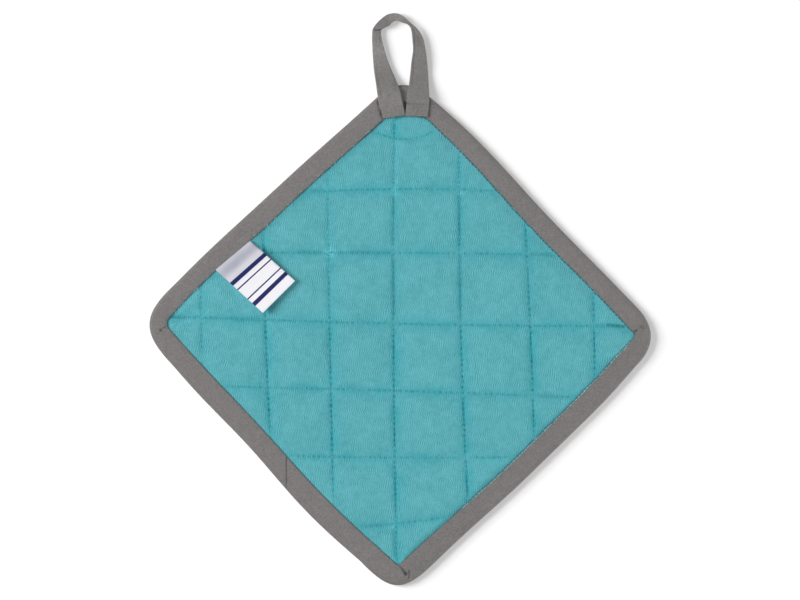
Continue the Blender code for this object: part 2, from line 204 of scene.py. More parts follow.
# The sewn lines of the quilting: where each starts and finishes, and its place at its start, middle and
# finish.
Line = namedtuple("Line", "start finish at_start at_middle at_finish")
LINES_DOWN = {
    "down_1": Line(4.0, -31.0, -105.4, -105.2, -104.8),
    "down_2": Line(28.0, -69.5, -72.5, -71.0, -68.9),
    "down_3": Line(65.5, -107.5, -38.3, -37.1, -35.2),
    "down_4": Line(95.5, -139.5, -2.9, -3.4, -1.8),
    "down_5": Line(78.0, -103.0, 31.2, 32.1, 35.7),
    "down_6": Line(38.0, -73.0, 66.4, 69.1, 71.1),
    "down_7": Line(2.0, -41.5, 102.4, 102.8, 103.2),
}
LINES_ACROSS = {
    "across_1": Line(-14.5, 20.5, 89.3, 84.6, 90.2),
    "across_2": Line(-49.0, 51.0, 56.2, 58.2, 57.2),
    "across_3": Line(-84.0, 83.0, 24.3, 24.4, 23.3),
    "across_4": Line(-120.5, 118.5, -9.2, -13.2, -14.4),
    "across_5": Line(-90.5, 94.0, -46.5, -48.9, -52.3),
    "across_6": Line(-57.0, 59.5, -83.2, -84.2, -83.9),
    "across_7": Line(-21.5, 24.0, -121.0, -118.8, -116.0),
}
CELL = 35.0
CROSSING_ROUNDS = 8

# How deep each line down is, and how dark its painted shade is, by its stretches: from the one above the
# first line across to the one below the last. At a crossing the tone goes over from one to the next within
# this share of a cell.
LINE_TONES = {
    "down_1": (1.00, 1.00, 1.00, 0.66, 0.60, 1.00, 1.00, 1.00),
    "down_2": (1.00, 1.00, 1.02, 1.10, 1.34, 1.20, 1.00, 1.00),
    "down_3": (1.00, 0.66, 0.55, 0.75, 1.18, 1.26, 0.74, 1.00),
    "down_4": (1.12, 0.62, 0.80, 0.78, 1.30, 1.14, 1.24, 1.04),
    "down_5": (1.00, 0.78, 0.90, 0.72, 1.20, 1.38, 1.20, 1.00),
    "down_6": (1.00, 1.00, 1.32, 1.12, 1.30, 1.04, 1.00, 1.00),
    "down_7": (1.00, 1.00, 1.00, 0.92, 1.04, 1.00, 1.00, 1.00),
}
TONE_BLEND = 0.25

# The quilted cloth's mesh: steps across a cell on its face and its back, how much closer they stand at
# the sewn lines, and how far it reaches under the binding.
FACE_STEPS = 38
BACK_STEPS = 24
CLOSER_AT_LINES = 0.45
CUT_EDGE = 0.46
OPENED_REACH = 0.45

# Its relief: the sewn lines' depth on the face, the drop beside them and the puffs' crown, then its
# back: the lines' height, how far the puffs hang, and how the padding rises from the binding.
CHANNEL_TOP = 3.5
DROP = 1.0
DROP_WIDTH = 1.4
DROP_POWER = 1.35
DROP_SHARE = {"down": 1.0, "across": 0.40}
CROWN = 1.75
CROWN_FULLNESS = 0.85
CHANNEL_BOTTOM = 1.35
PUFF_HANG = 2.3
HANG_FULLNESS = 0.42
EDGE_RISE = 0.95
RISE_FULLNESS = 0.58

# Small unevenness of the face: sizes and heights of the wadding's lumps, how much the sewn lines vary
# in depth, the puckers that the stitches draw, and the folds that run out from each crossing. Noise
# makes them drift: its steps are how far one line or cell lies from the next in the noise, and the
# seeds keep the kinds apart.
LUMPS = ((15.0, 0.30), (6.5, 0.14), (3.2, 0.045))
LUMPS_LAYER_STEP = 7.3
LINE_VARIATION = 0.75
LINE_VARIATION_LENGTH = 0.45
LINE_VARIATION_STEP = 3.7
PUCKER_LENGTH = 4.1
PUCKER_HEIGHT = 0.10
PUCKER_REACH = 2.6
PUCKER_STEPS = (1.7, 0.6)
PUCKER_DRIFT = 1.6
PUCKER_LEVEL = 0.6
CROSSING_FOLDS = 5
CROSSING_FOLD_HEIGHT = 0.13
CROSSING_FOLD_REACH = 5.5
CROSSING_STEPS = (2.3, 1.9)
CROSSING_START = (0.4, 0.2)
CROSSING_DRIFT = 3.0
CROSSING_LEVEL = 0.7
LINE_SEEDS = {"down": 0.0, "across": 11.0}
PUCKER_SEEDS = {"down": 3.0, "across": 9.0}
SEEDS = {"wadding": 1.0, "crossings": 4.0, "binding": 5.0, "loop": 8.0}

# Creases as seen from above: where each runs, half its width, its depth, and its shade, how much darker
# it is painted there as painted shade. The paler ones are the pinched crossings of sewn lines.
Mark = namedtuple("Mark", "start_x start_y end_x end_y width depth shade")
QUILT_MARKS = (
    Mark(110.0, -14.0, 118.6, -14.6, 0.70, 0.55, 0.55),
    Mark(104.0, -13.7, 110.0, -14.0, 0.70, 0.30, 0.16),
    Mark(-124.0, -9.6, -113.5, -9.9, 0.90, 0.35, 0.20),
    Mark(-3.6, -119.0, -2.6, -137.5, 0.80, 0.35, 0.14),
    Mark(-3.6, 23.0, -3.1, -8.5, 0.80, 0.30, 0.27),
    Mark(31.8, 22.5, 32.1, -10.0, 0.80, 0.30, 0.25),
    Mark(31.3, 54.5, 31.7, 28.5, 0.75, 0.25, 0.22),
    Mark(-3.4, 55.0, -3.7, 30.0, 0.70, 0.20, 0.12),
    Mark(-53.0, 24.6, -41.0, 24.4, 0.80, 0.25, 0.24),
    Mark(-33.0, 24.5, -5.0, 24.4, 0.70, 0.20, 0.20),
    Mark(69.0, 23.6, 80.5, 23.3, 0.80, 0.20, 0.22),
    Mark(-103.0, -10.0, -74.0, -11.1, 0.80, 0.15, 0.15),
    Mark(72.7, -51.4, 89.6, -52.1, 0.80, 0.15, 0.14),
    Mark(-19.7, -120.8, -5.1, -119.5, 0.80, 0.15, 0.13),
    Mark(-47.0, 57.2, -40.5, 57.5, 0.80, 0.15, 0.16),
    Mark(-38.6, 24.4, -36.0, 24.0, 2.20, 0.0, -0.34),
    Mark(-3.6, 58.6, -2.6, 55.6, 1.50, 0.0, -0.24),
    Mark(-2.6, 60.5, -1.8, 63.5, 0.90, 0.0, -0.18),
    Mark(30.7, 58.0, 31.7, 56.5, 1.50, 0.0, -0.16),
    Mark(-2.6, -119.2, -3.2, -120.8, 1.60, 0.0, -0.18),
    Mark(-106.0, -9.2, -102.9, -8.2, 3.20, 0.0, -0.16),
    Mark(-120.5, -13.0, -111.0, -12.4, 4.00, 0.0, -0.11),
    Mark(-117.0, -7.0, -103.0, 7.0, 2.20, 0.0, -0.09),
    Mark(-38.4, 56.9, -39.2, 58.5, 1.30, 0.0, -0.12),
    Mark(34.5, -84.2, 35.5, -84.0, 1.30, 0.0, -0.10),
)

# Painted shade on the cloth where it dips beside the binding and under the loop's feet: from one bearing
# to another, its reach and its shade.
EdgeShade = namedtuple("EdgeShade", "start_degrees finish_degrees reach shade")
EDGE_SHADES = (
    EdgeShade(-89.0, -5.0, 2.2, 0.34),
    EdgeShade(93.0, 167.0, 3.0, 0.16),
    EdgeShade(81.5, 98.5, 0.8, 0.50),
)

# The quilting thread: how many stitches a cell has, the share of its step that a stitch covers, and the
# rest in millimetres. A stitch swells at rings, each at a share of half its length and of its radius,
# and stitches vary in length and thickness. None is closer to the binding than this share of its band.
STITCHES_A_CELL = 12.2
STITCH_SHARE = 0.62
STITCH_RADIUS = 0.19
STITCH_DIP = 0.40
STITCH_LIFT = 0.10
STITCH_SIDES = 6
STITCH_STRAY = 0.11
STITCH_RINGS = ((-0.86, 0.75), (-0.4, 1.0), (0.4, 1.0), (0.86, 0.75))
STITCH_LENGTHS = (0.85, 1.12)
STITCH_THICKNESSES = (0.85, 1.15)
STITCH_CLEAR = 0.02

# The dark thread in the ditch beside the binding: how far across it lies and its thickness, by its
# bearing. Its dark colour and its thickness on each bearing also stand in for the shade in the ditch, as
# painted shade. Where the ditch is wider, a pale thread runs between it and the binding.
DitchPlace = namedtuple("DitchPlace", "degrees across radius")
DITCH_PLACES = (
    DitchPlace(-180.0, 1.030, 0.09),
    DitchPlace(-100.0, 1.030, 0.09),
    DitchPlace(-92.0, 1.035, 0.24),
    DitchPlace(-76.0, 1.035, 0.24),
    DitchPlace(-62.0, 1.085, 0.24),
    DitchPlace(-3.0, 1.085, 0.24),
    DitchPlace(1.0, 1.060, 0.33),
    DitchPlace(60.0, 1.060, 0.33),
    DitchPlace(84.0, 1.035, 0.36),
    DitchPlace(98.0, 1.032, 0.34),
    DitchPlace(105.0, 1.025, 0.13),
    DitchPlace(180.0, 1.030, 0.09),
)
DITCH_PITCH = 2.3
DITCH_SHARE = 0.94
DITCH_LIFT = 0.10
THREAD_DIP = 0.10
EDGE_THREAD_BEARINGS = (-70.0, -2.5)
EDGE_THREAD_ACROSS = 1.020
EDGE_THREAD_PITCH = 2.1
EDGE_THREAD_SHARE = 0.86
EDGE_THREAD_HEIGHT = 4.05
EDGE_THREAD_RADIUS = 0.20

# The loose fibres beside the binding: how far across it they start, their height where that is on it,
# and how much they vary; then from one bearing to another, how many, how long and how thick.
FIBRE_ACROSS = (0.965, 1.05)
FIBRE_HEIGHT = 4.95
FIBRE_LIFT = 0.25
FIBRE_DIP = 0.05
FIBRE_LENGTHS = (0.5, 1.2)
FIBRE_TURN = 0.5
FIBRE_SLOPE = 0.10
FIBRE_SEED = 5
Fibres = namedtuple("Fibres", "start_degrees finish_degrees count length radius")
FIBRES = (
    Fibres(96.0, 146.0, 44, 1.3, 0.10),
    Fibres(162.0, 174.0, 12, 1.3, 0.10),
    Fibres(-8.0, -3.0, 8, 1.5, 0.15),
    Fibres(-75.0, -10.0, 40, 1.1, 0.09),
)

# The binding's section: share of the way from its outer fold to its sewn edge, and height. Its face's
# relief comes in over this rise above the sewn lines' level.
Spot = namedtuple("Spot", "across height")
BINDING_FACE = (
    Spot(1.000, 3.72),
    Spot(1.010, 4.10),
    Spot(0.992, 4.55),
    Spot(0.945, 4.86),
    Spot(0.840, 5.08),
    Spot(0.660, 5.24),
    Spot(0.460, 5.20),
    Spot(0.280, 5.00),
    Spot(0.140, 4.50),
    Spot(0.045, 3.70),
    Spot(0.000, 2.60),
)
BINDING_BACK = (
    Spot(0.035, 1.45),
    Spot(0.100, 0.60),
    Spot(0.190, 0.10),
    Spot(0.320, 0.00),
    Spot(0.620, 0.00),
    Spot(0.900, 0.02),
    Spot(0.985, 0.22),
    Spot(1.005, 0.60),
    Spot(0.980, 0.98),
)
BINDING_LINING = (
    Spot(0.800, 1.02),
    Spot(0.450, 1.02),
    Spot(0.270, 1.25),
    Spot(0.185, 2.40),
    Spot(0.270, 3.45),
    Spot(0.450, 3.74),
    Spot(0.800, 3.74),
)
FACE_ROWS = 6
PLAIN_ROWS = 1
SECTION_STEP = 0.28
PLAIN_EVERY = 4
BUSY_REACH = 12.0
BINDING_LUMPS = ((21.0, 0.16), (7.0, 0.07))
BINDING_RELIEF_RISE = 1.2
BINDING_CLOTH_WIDTH = 26.0
BINDING_LENGTH = 740.0

# The tucks where the binding turns a corner: the cloth on one side of the fold lies a layer higher. The
# layer ends at this many times the fold's length.
Tuck = namedtuple("Tuck", "start_x start_y end_x end_y step")
CORNER_TUCKS = {
    "right": Tuck(123.9, -18.4, 126.4, -15.6, 0.35),
    "bottom": Tuck(-0.9, -141.6, 2.9, -145.6, 0.60),
    "left": Tuck(-124.0, -14.6, -126.6, -16.8, -0.40),
}
TUCK_FADE = 6.0
TUCK_EDGE = 0.42
TUCK_END = 1.25

# The seam where the binding's two ends are joined, and the step that it makes.
JOIN_X = -60.2
JOIN_Y = (-103.0, -83.0)
JOIN_STEP = 0.30
JOIN_FADE = 5.0

# Its creases, as on the quilted cloth, with painted shade in them, in the gaps at the loop's feet and
# between them, and along its lower right side.
BINDING_MARKS = (
    Mark(-60.2, -84.0, -60.2, -101.5, 0.32, 0.40, 0.30),
    Mark(-0.6, -141.2, 1.2, -143.2, 0.45, 0.60, 0.45),
    Mark(1.2, -143.2, 3.0, -145.7, 0.50, 0.90, 0.60),
    Mark(2.7, -145.3, 3.1, -145.8, 0.85, 1.10, 0.82),
    Mark(4.7, -144.0, 5.0, -146.0, 0.50, 0.45, 0.50),
    Mark(5.0, -146.0, 4.3, -147.9, 0.50, 0.35, 0.42),
    Mark(123.6, -18.2, 125.0, -16.9, 0.60, 0.60, 0.60),
    Mark(125.0, -16.9, 125.1, -16.7, 0.70, 0.60, 0.62),
    Mark(127.3, -14.4, 128.6, -15.2, 1.10, 0.35, 0.22),
    Mark(-124.2, -14.7, -125.9, -16.1, 0.40, 0.40, 0.25),
    Mark(-126.4, -16.5, -126.9, -16.8, 0.55, 0.80, 0.60),
    Mark(-12.0, 105.0, -10.9, 100.5, 0.50, 0.40, 0.72),
    Mark(-10.9, 100.5, -9.3, 95.7, 0.62, 0.65, 0.93),
    Mark(16.3, 106.6, 15.7, 104.4, 0.60, 0.50, 0.45),
    Mark(15.5, 104.2, 15.0, 96.6, 0.30, 0.30, 0.25),
    Mark(6.0, -142.5, 127.0, -24.5, 6.0, 0.0, 0.055),
    Mark(2.2, 112.6, 2.2, 109.8, 2.00, 0.20, 0.20),
    Mark(2.2, 109.8, 2.5, 103.0, 2.00, 0.40, 0.34),
    Mark(2.5, 103.8, 3.0, 97.2, 1.30, 0.60, 0.86),
)

# The hanging loop's tape, from its left foot round to its right foot: its outer and inner edges, and its
# tone, painted shade that makes it darker there, and painted light that makes it lighter where the tone is
# below 0, as light falls on it.
Strip = namedtuple("Strip", "outer_x outer_y outer_z inner_x inner_y inner_z tone")
LOOP_STRIPS = (
    Strip(-8.9, 95.5, 5.95, 2.7, 97.1, 5.95, 0.00),
    Strip(-9.8, 98.7, 5.95, 2.3, 99.5, 5.95, -0.02),
    Strip(-10.7, 102.2, 6.00, 1.6, 102.7, 6.00, -0.08),
    Strip(-11.5, 105.3, 5.60, 0.9, 105.9, 6.00, -0.14),
    Strip(-12.1, 109.0, 4.40, 0.1, 109.8, 5.90, -0.08),
    Strip(-12.8, 114.1, 3.00, -1.1, 113.6, 3.90, -0.02),
    Strip(-13.6, 119.6, 2.30, -3.6, 119.4, 2.50, -0.06),
    Strip(-14.2, 125.5, 2.10, -6.1, 125.2, 2.50, -0.22),
    Strip(-14.6, 131.8, 1.90, -8.2, 131.8, 2.70, -0.34),
    Strip(-14.8, 137.1, 1.80, -9.5, 136.9, 2.80, -0.16),
    Strip(-14.7, 140.3, 1.80, -10.1, 140.2, 2.90, -0.12),
    Strip(-14.5, 142.5, 1.80, -10.0, 142.4, 2.90, -0.06),
    Strip(-13.2, 144.8, 1.50, -8.8, 143.2, 2.80, -0.04),
    Strip(-11.2, 147.1, 1.80, -7.3, 143.9, 3.10, 0.05),
    Strip(-8.9, 149.1, 2.00, -5.6, 144.8, 3.40, 0.05),
    Strip(-6.6, 150.6, 1.80, -4.4, 146.0, 3.50, -0.12),
    Strip(-4.0, 151.2, 2.40, -3.2, 147.0, 3.80, -0.20),
    Strip(-1.3, 151.1, 2.70, -1.9, 147.3, 3.90, -0.32),
    Strip(1.3, 149.9, 3.00, -0.6, 147.1, 4.00, -0.38),
    Strip(3.3, 148.1, 3.10, 1.4, 146.2, 4.00, -0.24),
    Strip(5.3, 146.3, 3.10, 3.6, 145.7, 3.80, -0.08),
    Strip(7.9, 144.1, 2.80, 5.2, 144.3, 3.70, -0.06),
    Strip(10.5, 141.4, 2.90, 6.1, 141.6, 3.60, -0.12),
    Strip(12.4, 137.5, 2.70, 6.5, 137.4, 3.20, -0.04),
    Strip(13.6, 131.8, 2.90, 6.9, 131.9, 3.10, -0.06),
    Strip(14.4, 125.5, 2.60, 6.0, 125.4, 3.00, -0.02),
    Strip(14.9, 119.1, 2.10, 5.4, 119.2, 2.60, -0.02),
    Strip(15.3, 112.8, 3.10, 4.7, 113.4, 4.20, -0.06),
    Strip(15.5, 107.2, 4.70, 3.8, 107.8, 5.90, -0.08),
    Strip(15.3, 102.2, 6.00, 3.4, 102.8, 6.00, -0.06),
    Strip(14.9, 98.2, 5.95, 2.9, 98.7, 5.95, 0.00),
    Strip(14.8, 96.3, 5.95, 2.8, 96.9, 5.95, 0.00),
)
LOOP_STEPS = 8
LOOP_LENGTH = 118.0
TAPE_WIDTH = 11.6
TAPE_THICKNESS = 1.3
TAPE_FACE_STEPS = 4

# Its section over the upper face: share of the way from the outer edge to the inner one, and share of
# half its thickness. A sewn groove runs beside each edge.
TAPE_FACE = (
    Spot(0.000, 0.00),
    Spot(0.010, 0.50),
    Spot(0.045, 0.88),
    Spot(0.090, 0.96),
    Spot(0.128, 0.86),
    Spot(0.170, 0.97),
    Spot(0.350, 1.00),
    Spot(0.600, 0.99),
    Spot(0.775, 0.97),
    Spot(0.815, 0.78),
    Spot(0.855, 0.95),
    Spot(0.950, 0.93),
    Spot(0.990, 0.62),
    Spot(1.000, 0.20),
)

# Its creases, with painted shade in them.
LOOP_MARKS = (
    Mark(-13.2, 142.3, -9.6, 142.6, 0.40, 0.75, 0.70),
    Mark(-11.9, 141.4, -12.8, 134.0, 0.45, 0.30, 0.16),
    Mark(-10.5, 141.5, -10.4, 134.5, 0.40, 0.35, 0.20),
    Mark(-10.0, 139.0, -6.5, 126.0, 0.35, 0.20, 0.22),
    Mark(-6.5, 126.0, -2.2, 113.0, 0.35, 0.15, 0.16),
    Mark(-12.6, 127.0, -12.0, 117.0, 0.40, 0.20, 0.12),
    Mark(-12.0, 117.0, -9.6, 106.5, 0.40, 0.25, 0.16),
    Mark(6.9, 143.4, 8.0, 139.3, 0.35, 0.25, 0.26),
    Mark(8.0, 139.3, 7.9, 131.8, 0.35, 0.25, 0.26),
    Mark(7.9, 131.8, 7.3, 126.0, 0.35, 0.25, 0.20),
    Mark(7.3, 126.0, 7.0, 119.5, 0.35, 0.30, 0.28),
    Mark(7.0, 119.5, 6.4, 112.5, 0.35, 0.20, 0.14),
    Mark(9.6, 139.0, 10.8, 134.0, 1.20, 0.35, 0.14),
    Mark(8.6, 122.6, 13.6, 121.6, 0.50, 0.12, 0.08),
    Mark(8.6, 118.4, 14.0, 118.0, 0.50, 0.12, 0.08),
    Mark(3.2, 103.4, 4.2, 103.5, 0.50, 0.40, 0.50),
    Mark(4.4, 103.4, 13.4, 102.8, 0.65, 0.35, 0.20),
    Mark(9.3, 102.4, 9.5, 98.6, 0.40, 0.25, 0.22),
    Mark(11.4, 102.0, 11.5, 98.8, 0.40, 0.18, 0.12),
    Mark(7.2, 102.4, 7.1, 99.4, 0.40, 0.18, 0.10),
    Mark(-5.5, 108.0, -6.4, 101.0, 0.80, 0.15, 0.08),
)
LOOP_LUMPS = ((9.0, 0.20), (3.5, 0.07))

# The side label: its corners as it lies, and its height by its share of the way to its free end.
LABEL_CORNERS = {
    "sewn_top": (-79.3, 30.7),
    "sewn_left": (-97.6, 15.3),
    "free_bottom": (-72.9, -7.2),
    "free_right": (-55.8, 9.8),
}
Lie = namedtuple("Lie", "share height")
LABEL_ROWS = (
    Lie(0.00, 5.1),
    Lie(0.08, 6.4),
    Lie(0.20, 7.5),
    Lie(0.40, 7.9),
    Lie(0.60, 7.9),
    Lie(0.80, 8.1),
    Lie(1.00, 8.6),
)
LABEL_WIDTH = 23.5
LABEL_LENGTH = 32.8
LABEL_STEPS = 6
LABEL_FOLD_STEPS = 7
LABEL_COLUMNS = 25
LABEL_LAYER = 0.30
LABEL_GAP = 0.62

# The teal cloth: its colour, and the deeper one painted before and after each sewn line as painted shade
# where the cloth dips, each side fading in its own width. Its weave and mottling change them: clouds have
# a size, a detail and a swing, and a patch goes from one level to another as a cloud of its size and detail
# goes from low to high. The painted shade of a needle hole or a fine crease is darkest over its flat share,
# and fades out from there.
TEAL = (0.0800, 0.352, 0.396)
TEAL_FOLD_SHADE = (0.0290, 0.318, 0.366)
FoldShade = namedtuple("FoldShade", "before after strength")
FOLD_SHADES = {"down": FoldShade(1.6, 2.9, 0.85), "across": FoldShade(2.7, 2.9, 0.74)}
FOLD_SHADE_FADE = (0.0, 0.8, 0.25, 1.0)
TWILL_PITCH = 1.14
TWILL_TURN = -10.0
TWILL_SHADE = 0.27
TWILL_DEPTH = 0.06
WALE_HEIGHT = 0.5
WALE_WAVER = 2.4
WALE_WAVER_SIZE = 1.6
WALE_WAVER_STRETCH = (0.22, 1.0, 1.0)
NAP_SIZE = 0.6
CLOTH_CLOUDS = ((0.7, 1.0, 0.34), (2.6, 1.0, 0.26), (7.0, 2.0, 0.22), (16.0, 2.0, 0.16))
CREASE_WIDTH = 0.75
CREASE_SHADE = 0.30
HOLE_REACH = 1.15
HOLE_SHADE = {"down": 1.0, "across": 0.75}
SPOT_FLAT = 0.2
Patch = namedtuple("Patch", "size detail low high at_low at_high")
WALE_PATCHES = Patch(3.4, 2.0, 0.40, 0.64, 0.15, 1.0)
PALE_FLECKS = Patch(1.1, 1.0, 0.40, 0.60, 0.0, -1.5)
FOLD_SHADE_PATCHES = Patch(9.0, 1.0, 0.30, 0.70, 0.45, 1.35)
HOLE_PATCHES = Patch(3.6, 1.0, 0.35, 0.65, 0.04, 0.40)
CREASE_PATCHES = Patch(7.0, 1.0, 0.38, 0.64, 0.0, 1.0)

# The grey tapes and the threads. A tape's two sets of threads lie a quarter turn apart: each has its
# turn in degrees and the size of its waver.
BINDING_GREY = (0.166, 0.157, 0.154)
TAPE_GREY = (0.165, 0.158, 0.155)
TAPE_PITCH = 0.52
TAPE_WAVERS = ((0.0, 3.0), (90.0, 3.5))
TAPE_WEAVE_SHADE = 0.06
TAPE_WEAVE_HEIGHT = 0.4
TAPE_NAP_SIZE = 0.8
TAPE_DEPTH = 0.07
TAPE_CLOUDS = ((0.9, 2.0, 0.85), (4.5, 2.0, 0.20), (16.0, 2.0, 0.12))
QUILTING_TEAL = (0.070, 0.340, 0.385)
DITCH_THREAD_AND_SHADE = (0.040, 0.102, 0.122)
FIBRE_PALE = (0.26, 0.46, 0.49)
THREAD_PITCH = 0.45
THREAD_TURN = 40.0

# The label: where each woven band lies along it and its width. The white is painted with a grey-violet
# shade where the ribbon bends down at its sewn end, as painted shade: each ramp goes between two places
# along it from one share to another.
LABEL_WHITE = (0.80, 0.79, 0.83)
LABEL_NAVY = (0.010, 0.014, 0.105)
BAND_PLACES = ((11.2, 2.3), (15.4, 0.75), (22.6, 0.75), (26.8, 2.3))
BAND_SOFTNESS = 0.08
LABEL_BEND_SHADE = (0.332, 0.343, 0.416)
LABEL_BEND_SHADE_RAMPS = ((0.5, 3.6, 0.72, 1.0), (4.5, 8.5, 1.0, 0.50), (9.0, 15.0, 1.0, 0.0))
LABEL_PATCHES = Patch(9.0, 1.0, 0.30, 0.70, 0.85, 1.0)
LABEL_PITCH = 0.34
LABEL_WEAVE_SHADE = 0.03
LABEL_DEPTH = 0.02

# What the camera sees: 800 x 600 pixels of this size, with the frame's middle at this place.
PIXEL = 0.53
PHOTO_WIDTH = 800
VIEW_MIDDLE = (0.0, -0.66)
CAMERA_HEIGHT = 5.0
SENSOR = 36.0
CLIP_END = 100.0

# The lights: where each stands in degrees, its width in metres, and its share of the floor's white.
Lamp = namedtuple("Lamp", "azimuth elevation size share casts_shadow")
LAMPS = {
    "left_light": Lamp(167.0, 35.5, 1.6, 0.60, True),
    "right_light": Lamp(-17.0, 27.0, 2.0, 0.39, False),
    "overhead_light": Lamp(-90.0, 86.0, 3.0, 0.07, True),
}
LAMP_DISTANCE = 3.0
SURROUNDING = 0.10

# The floor: its half size in metres, its white, and its faint clouds.
FLOOR_REACH = 4.0
FLOOR_WHITE = 0.90
FLOOR_CLOUD_SIZE = 400.0
FLOOR_CLOUD_SHADE = 0.01


def millimetres(values):
    """The same places or sizes in metres."""
    return np.asarray(values, float) * MM


def unit(vectors):
    """The directions of a grid or row of vectors."""
    return vectors / np.linalg.norm(vectors, axis=-1, keepdims=True)


def noise_at(first, second, seed):
    """Smooth noise about 0 at each pair of coordinates."""
    return np.array([noise.noise(Vector((across, up, seed))) for across, up in zip(first, second)])


# ---------------------------------------------------------------- the outline and the sewn lines


def side(start, finish, waves):
    """Points along one side, wandering outwards from the straight by its waves."""
    share = np.linspace(0.0, 1.0, SIDE_STEPS)
    along = (finish - start) / np.linalg.norm(finish - start)
    outwards = np.array((-along[1], along[0]))
    wander = sum(size * np.sin(count * math.pi * share) for count, size in enumerate(millimetres(waves), 1))
    return start + np.outer(share, finish - start) + np.outer(wander, outwards)


def rounding(corner, before, after, fullness):
    """Points round one corner, from the end of one side to the start of the next."""
    share = np.linspace(0.0, 1.0, CORNER_STEPS)[1:-1, None]
    first_handle = before + (corner - before) * fullness
    last_handle = after + (corner - after) * fullness
    return (
        (1 - share) ** 3 * before
        + 3 * (1 - share) ** 2 * share * first_handle
        + 3 * (1 - share) * share**2 * last_handle
        + share**3 * after
    )


def outline(corners, waves):
    """The closed outline with these corners and sides, clockwise."""
    names = list(corners)
    places = [millimetres((corner.x, corner.y)) for corner in corners.values()]
    points = []
    for number, name in enumerate(names):
        following = corners[names[(number + 1) % len(names)]]
        place, target, beyond = (places[(number + step) % len(names)] for step in range(3))
        along = (target - place) / np.linalg.norm(target - place)
        onwards = (beyond - target) / np.linalg.norm(beyond - target)
        start = place + along * corners[name].reach * MM
        finish = target - along * following.reach * MM
        points.append(side(start, finish, waves[name]))
        points.append(rounding(target, finish, target + onwards * following.reach * MM, following.fullness))
    return np.concatenate(points)


def bearing(points):
    """The direction of each point from the middle, in radians."""
    arms = np.asarray(points) - millimetres(MIDDLE)
    return np.arctan2(arms[..., 1], arms[..., 0])


def distance(points):
    """How far each point lies from the middle."""
    return np.linalg.norm(np.asarray(points) - millimetres(MIDDLE), axis=-1)


OUTSIDE = outline(BINDING_OUTSIDE, OUTSIDE_WAVES)
INSIDE = outline(BINDING_INSIDE, INSIDE_WAVES)


def edges_at(bearings):
    """The binding's outer fold and its sewn edge, as distances from the middle on each bearing."""
    outer = np.interp(bearings, bearing(OUTSIDE), distance(OUTSIDE), period=2 * math.pi)
    inner = np.interp(bearings, bearing(INSIDE), distance(INSIDE), period=2 * math.pi)
    return outer, inner


def on_band(bearings, across):
    """Points on each bearing at a share of the way from the outer fold, 0, to the sewn edge, 1."""
    outer, inner = edges_at(bearings)
    arm = outer + (inner - outer) * across
    directions = np.stack((np.cos(bearings), np.sin(bearings)), axis=-1)
    return millimetres(MIDDLE) + directions * arm[..., None]


def across_at(points):
    """How far across the band each point lies: 0 on the outer fold, 1 on the sewn edge, more inside it."""
    outer, inner = edges_at(bearing(points))
    return (outer - distance(points)) / (outer - inner)


def along_line(line, places):
    """Where a sewn line runs at places along it: a smooth curve through its three values, then level."""
    start, finish, at_start, at_middle, at_finish = millimetres(line)
    share = np.clip((places - start) / (finish - start), 0.0, 1.0)
    ends = at_start * (1 - share) * (1 - 2 * share) + at_finish * share * (2 * share - 1)
    return ends + at_middle * 4 * share * (1 - share)


def family_place(family, numbers, places):
    """Where fractional line numbers of one family lie, 0 being the line beyond the first."""
    lines = np.array([along_line(line, places) for line in family.values()])
    lines = np.concatenate(([2 * lines[0] - lines[1]], lines, [2 * lines[-1] - lines[-2]]))
    before = np.clip(np.floor(numbers).astype(int), 0, len(lines) - 2)
    column = np.arange(len(numbers))
    share = numbers - before
    return lines[before, column] * (1 - share) + lines[before + 1, column] * share


def lattice_points(downs, acrosses):
    """The points at fractional line numbers down and across."""
    x, y = np.zeros(len(downs)), np.zeros(len(downs))
    for _ in range(CROSSING_ROUNDS):
        x = family_place(LINES_DOWN, downs, y)
        y = family_place(LINES_ACROSS, acrosses, x)
    return np.stack((x, y), axis=-1)


# ---------------------------------------------------------------- meshes


def add_mesh(name, points, faces, material, lattice=None, shade=None):
    """A smooth-shaded mesh piece from points in metres, with what its material reads at each point."""
    mesh = bpy.data.meshes.new(name)
    mesh.from_pydata([tuple(point) for point in points], [], faces)
    if lattice is not None:
        attribute = mesh.attributes.new("lattice", "FLOAT_VECTOR", "POINT")
        attribute.data.foreach_set("vector", np.ascontiguousarray(lattice, np.float32).ravel())
    if shade is not None:
        attribute = mesh.attributes.new("shade", "FLOAT", "POINT")
        attribute.data.foreach_set("value", np.ascontiguousarray(shade, np.float32))
    return add_piece(name, mesh, material)


def add_piece(name, mesh, material):
    """Link a finished mesh as a piece of the pot holder, with its faces pointing out."""
    bm = bmesh.new()
    bm.from_mesh(mesh)
    bmesh.ops.recalc_face_normals(bm, faces=bm.faces)
    bm.to_mesh(mesh)
    bm.free()
    mesh.shade_smooth()
    mesh.materials.append(material)
    piece = bpy.data.objects.new(name, mesh)
    bpy.context.scene.collection.objects.link(piece)
    return piece


def grid_faces(rows, columns, first=0, wrap_rows=False, wrap_columns=False):
    """Quads between neighbouring points of a grid of points that are numbered row by row."""
    faces = []
    for row in range(rows if wrap_rows else rows - 1):
        for column in range(columns if wrap_columns else columns - 1):
            onwards, over = (row + 1) % rows, (column + 1) % columns
            faces.append(
                (
                    first + row * columns + column,
                    first + row * columns + over,
                    first + onwards * columns + over,
                    first + onwards * columns + column,
                )
            )
    return faces


def lumps(points, sizes, seed):
    """A soft unevenness at each point, from layers of noise with their sizes and heights, in metres."""
    heights = np.zeros(len(points))
    for layer, (size, height) in enumerate(sizes):
        places = points[:, :2] * (1.0 / (size * MM))
        heights += height * MM * noise_at(*places.T, seed + layer * LUMPS_LAYER_STEP)
    return heights


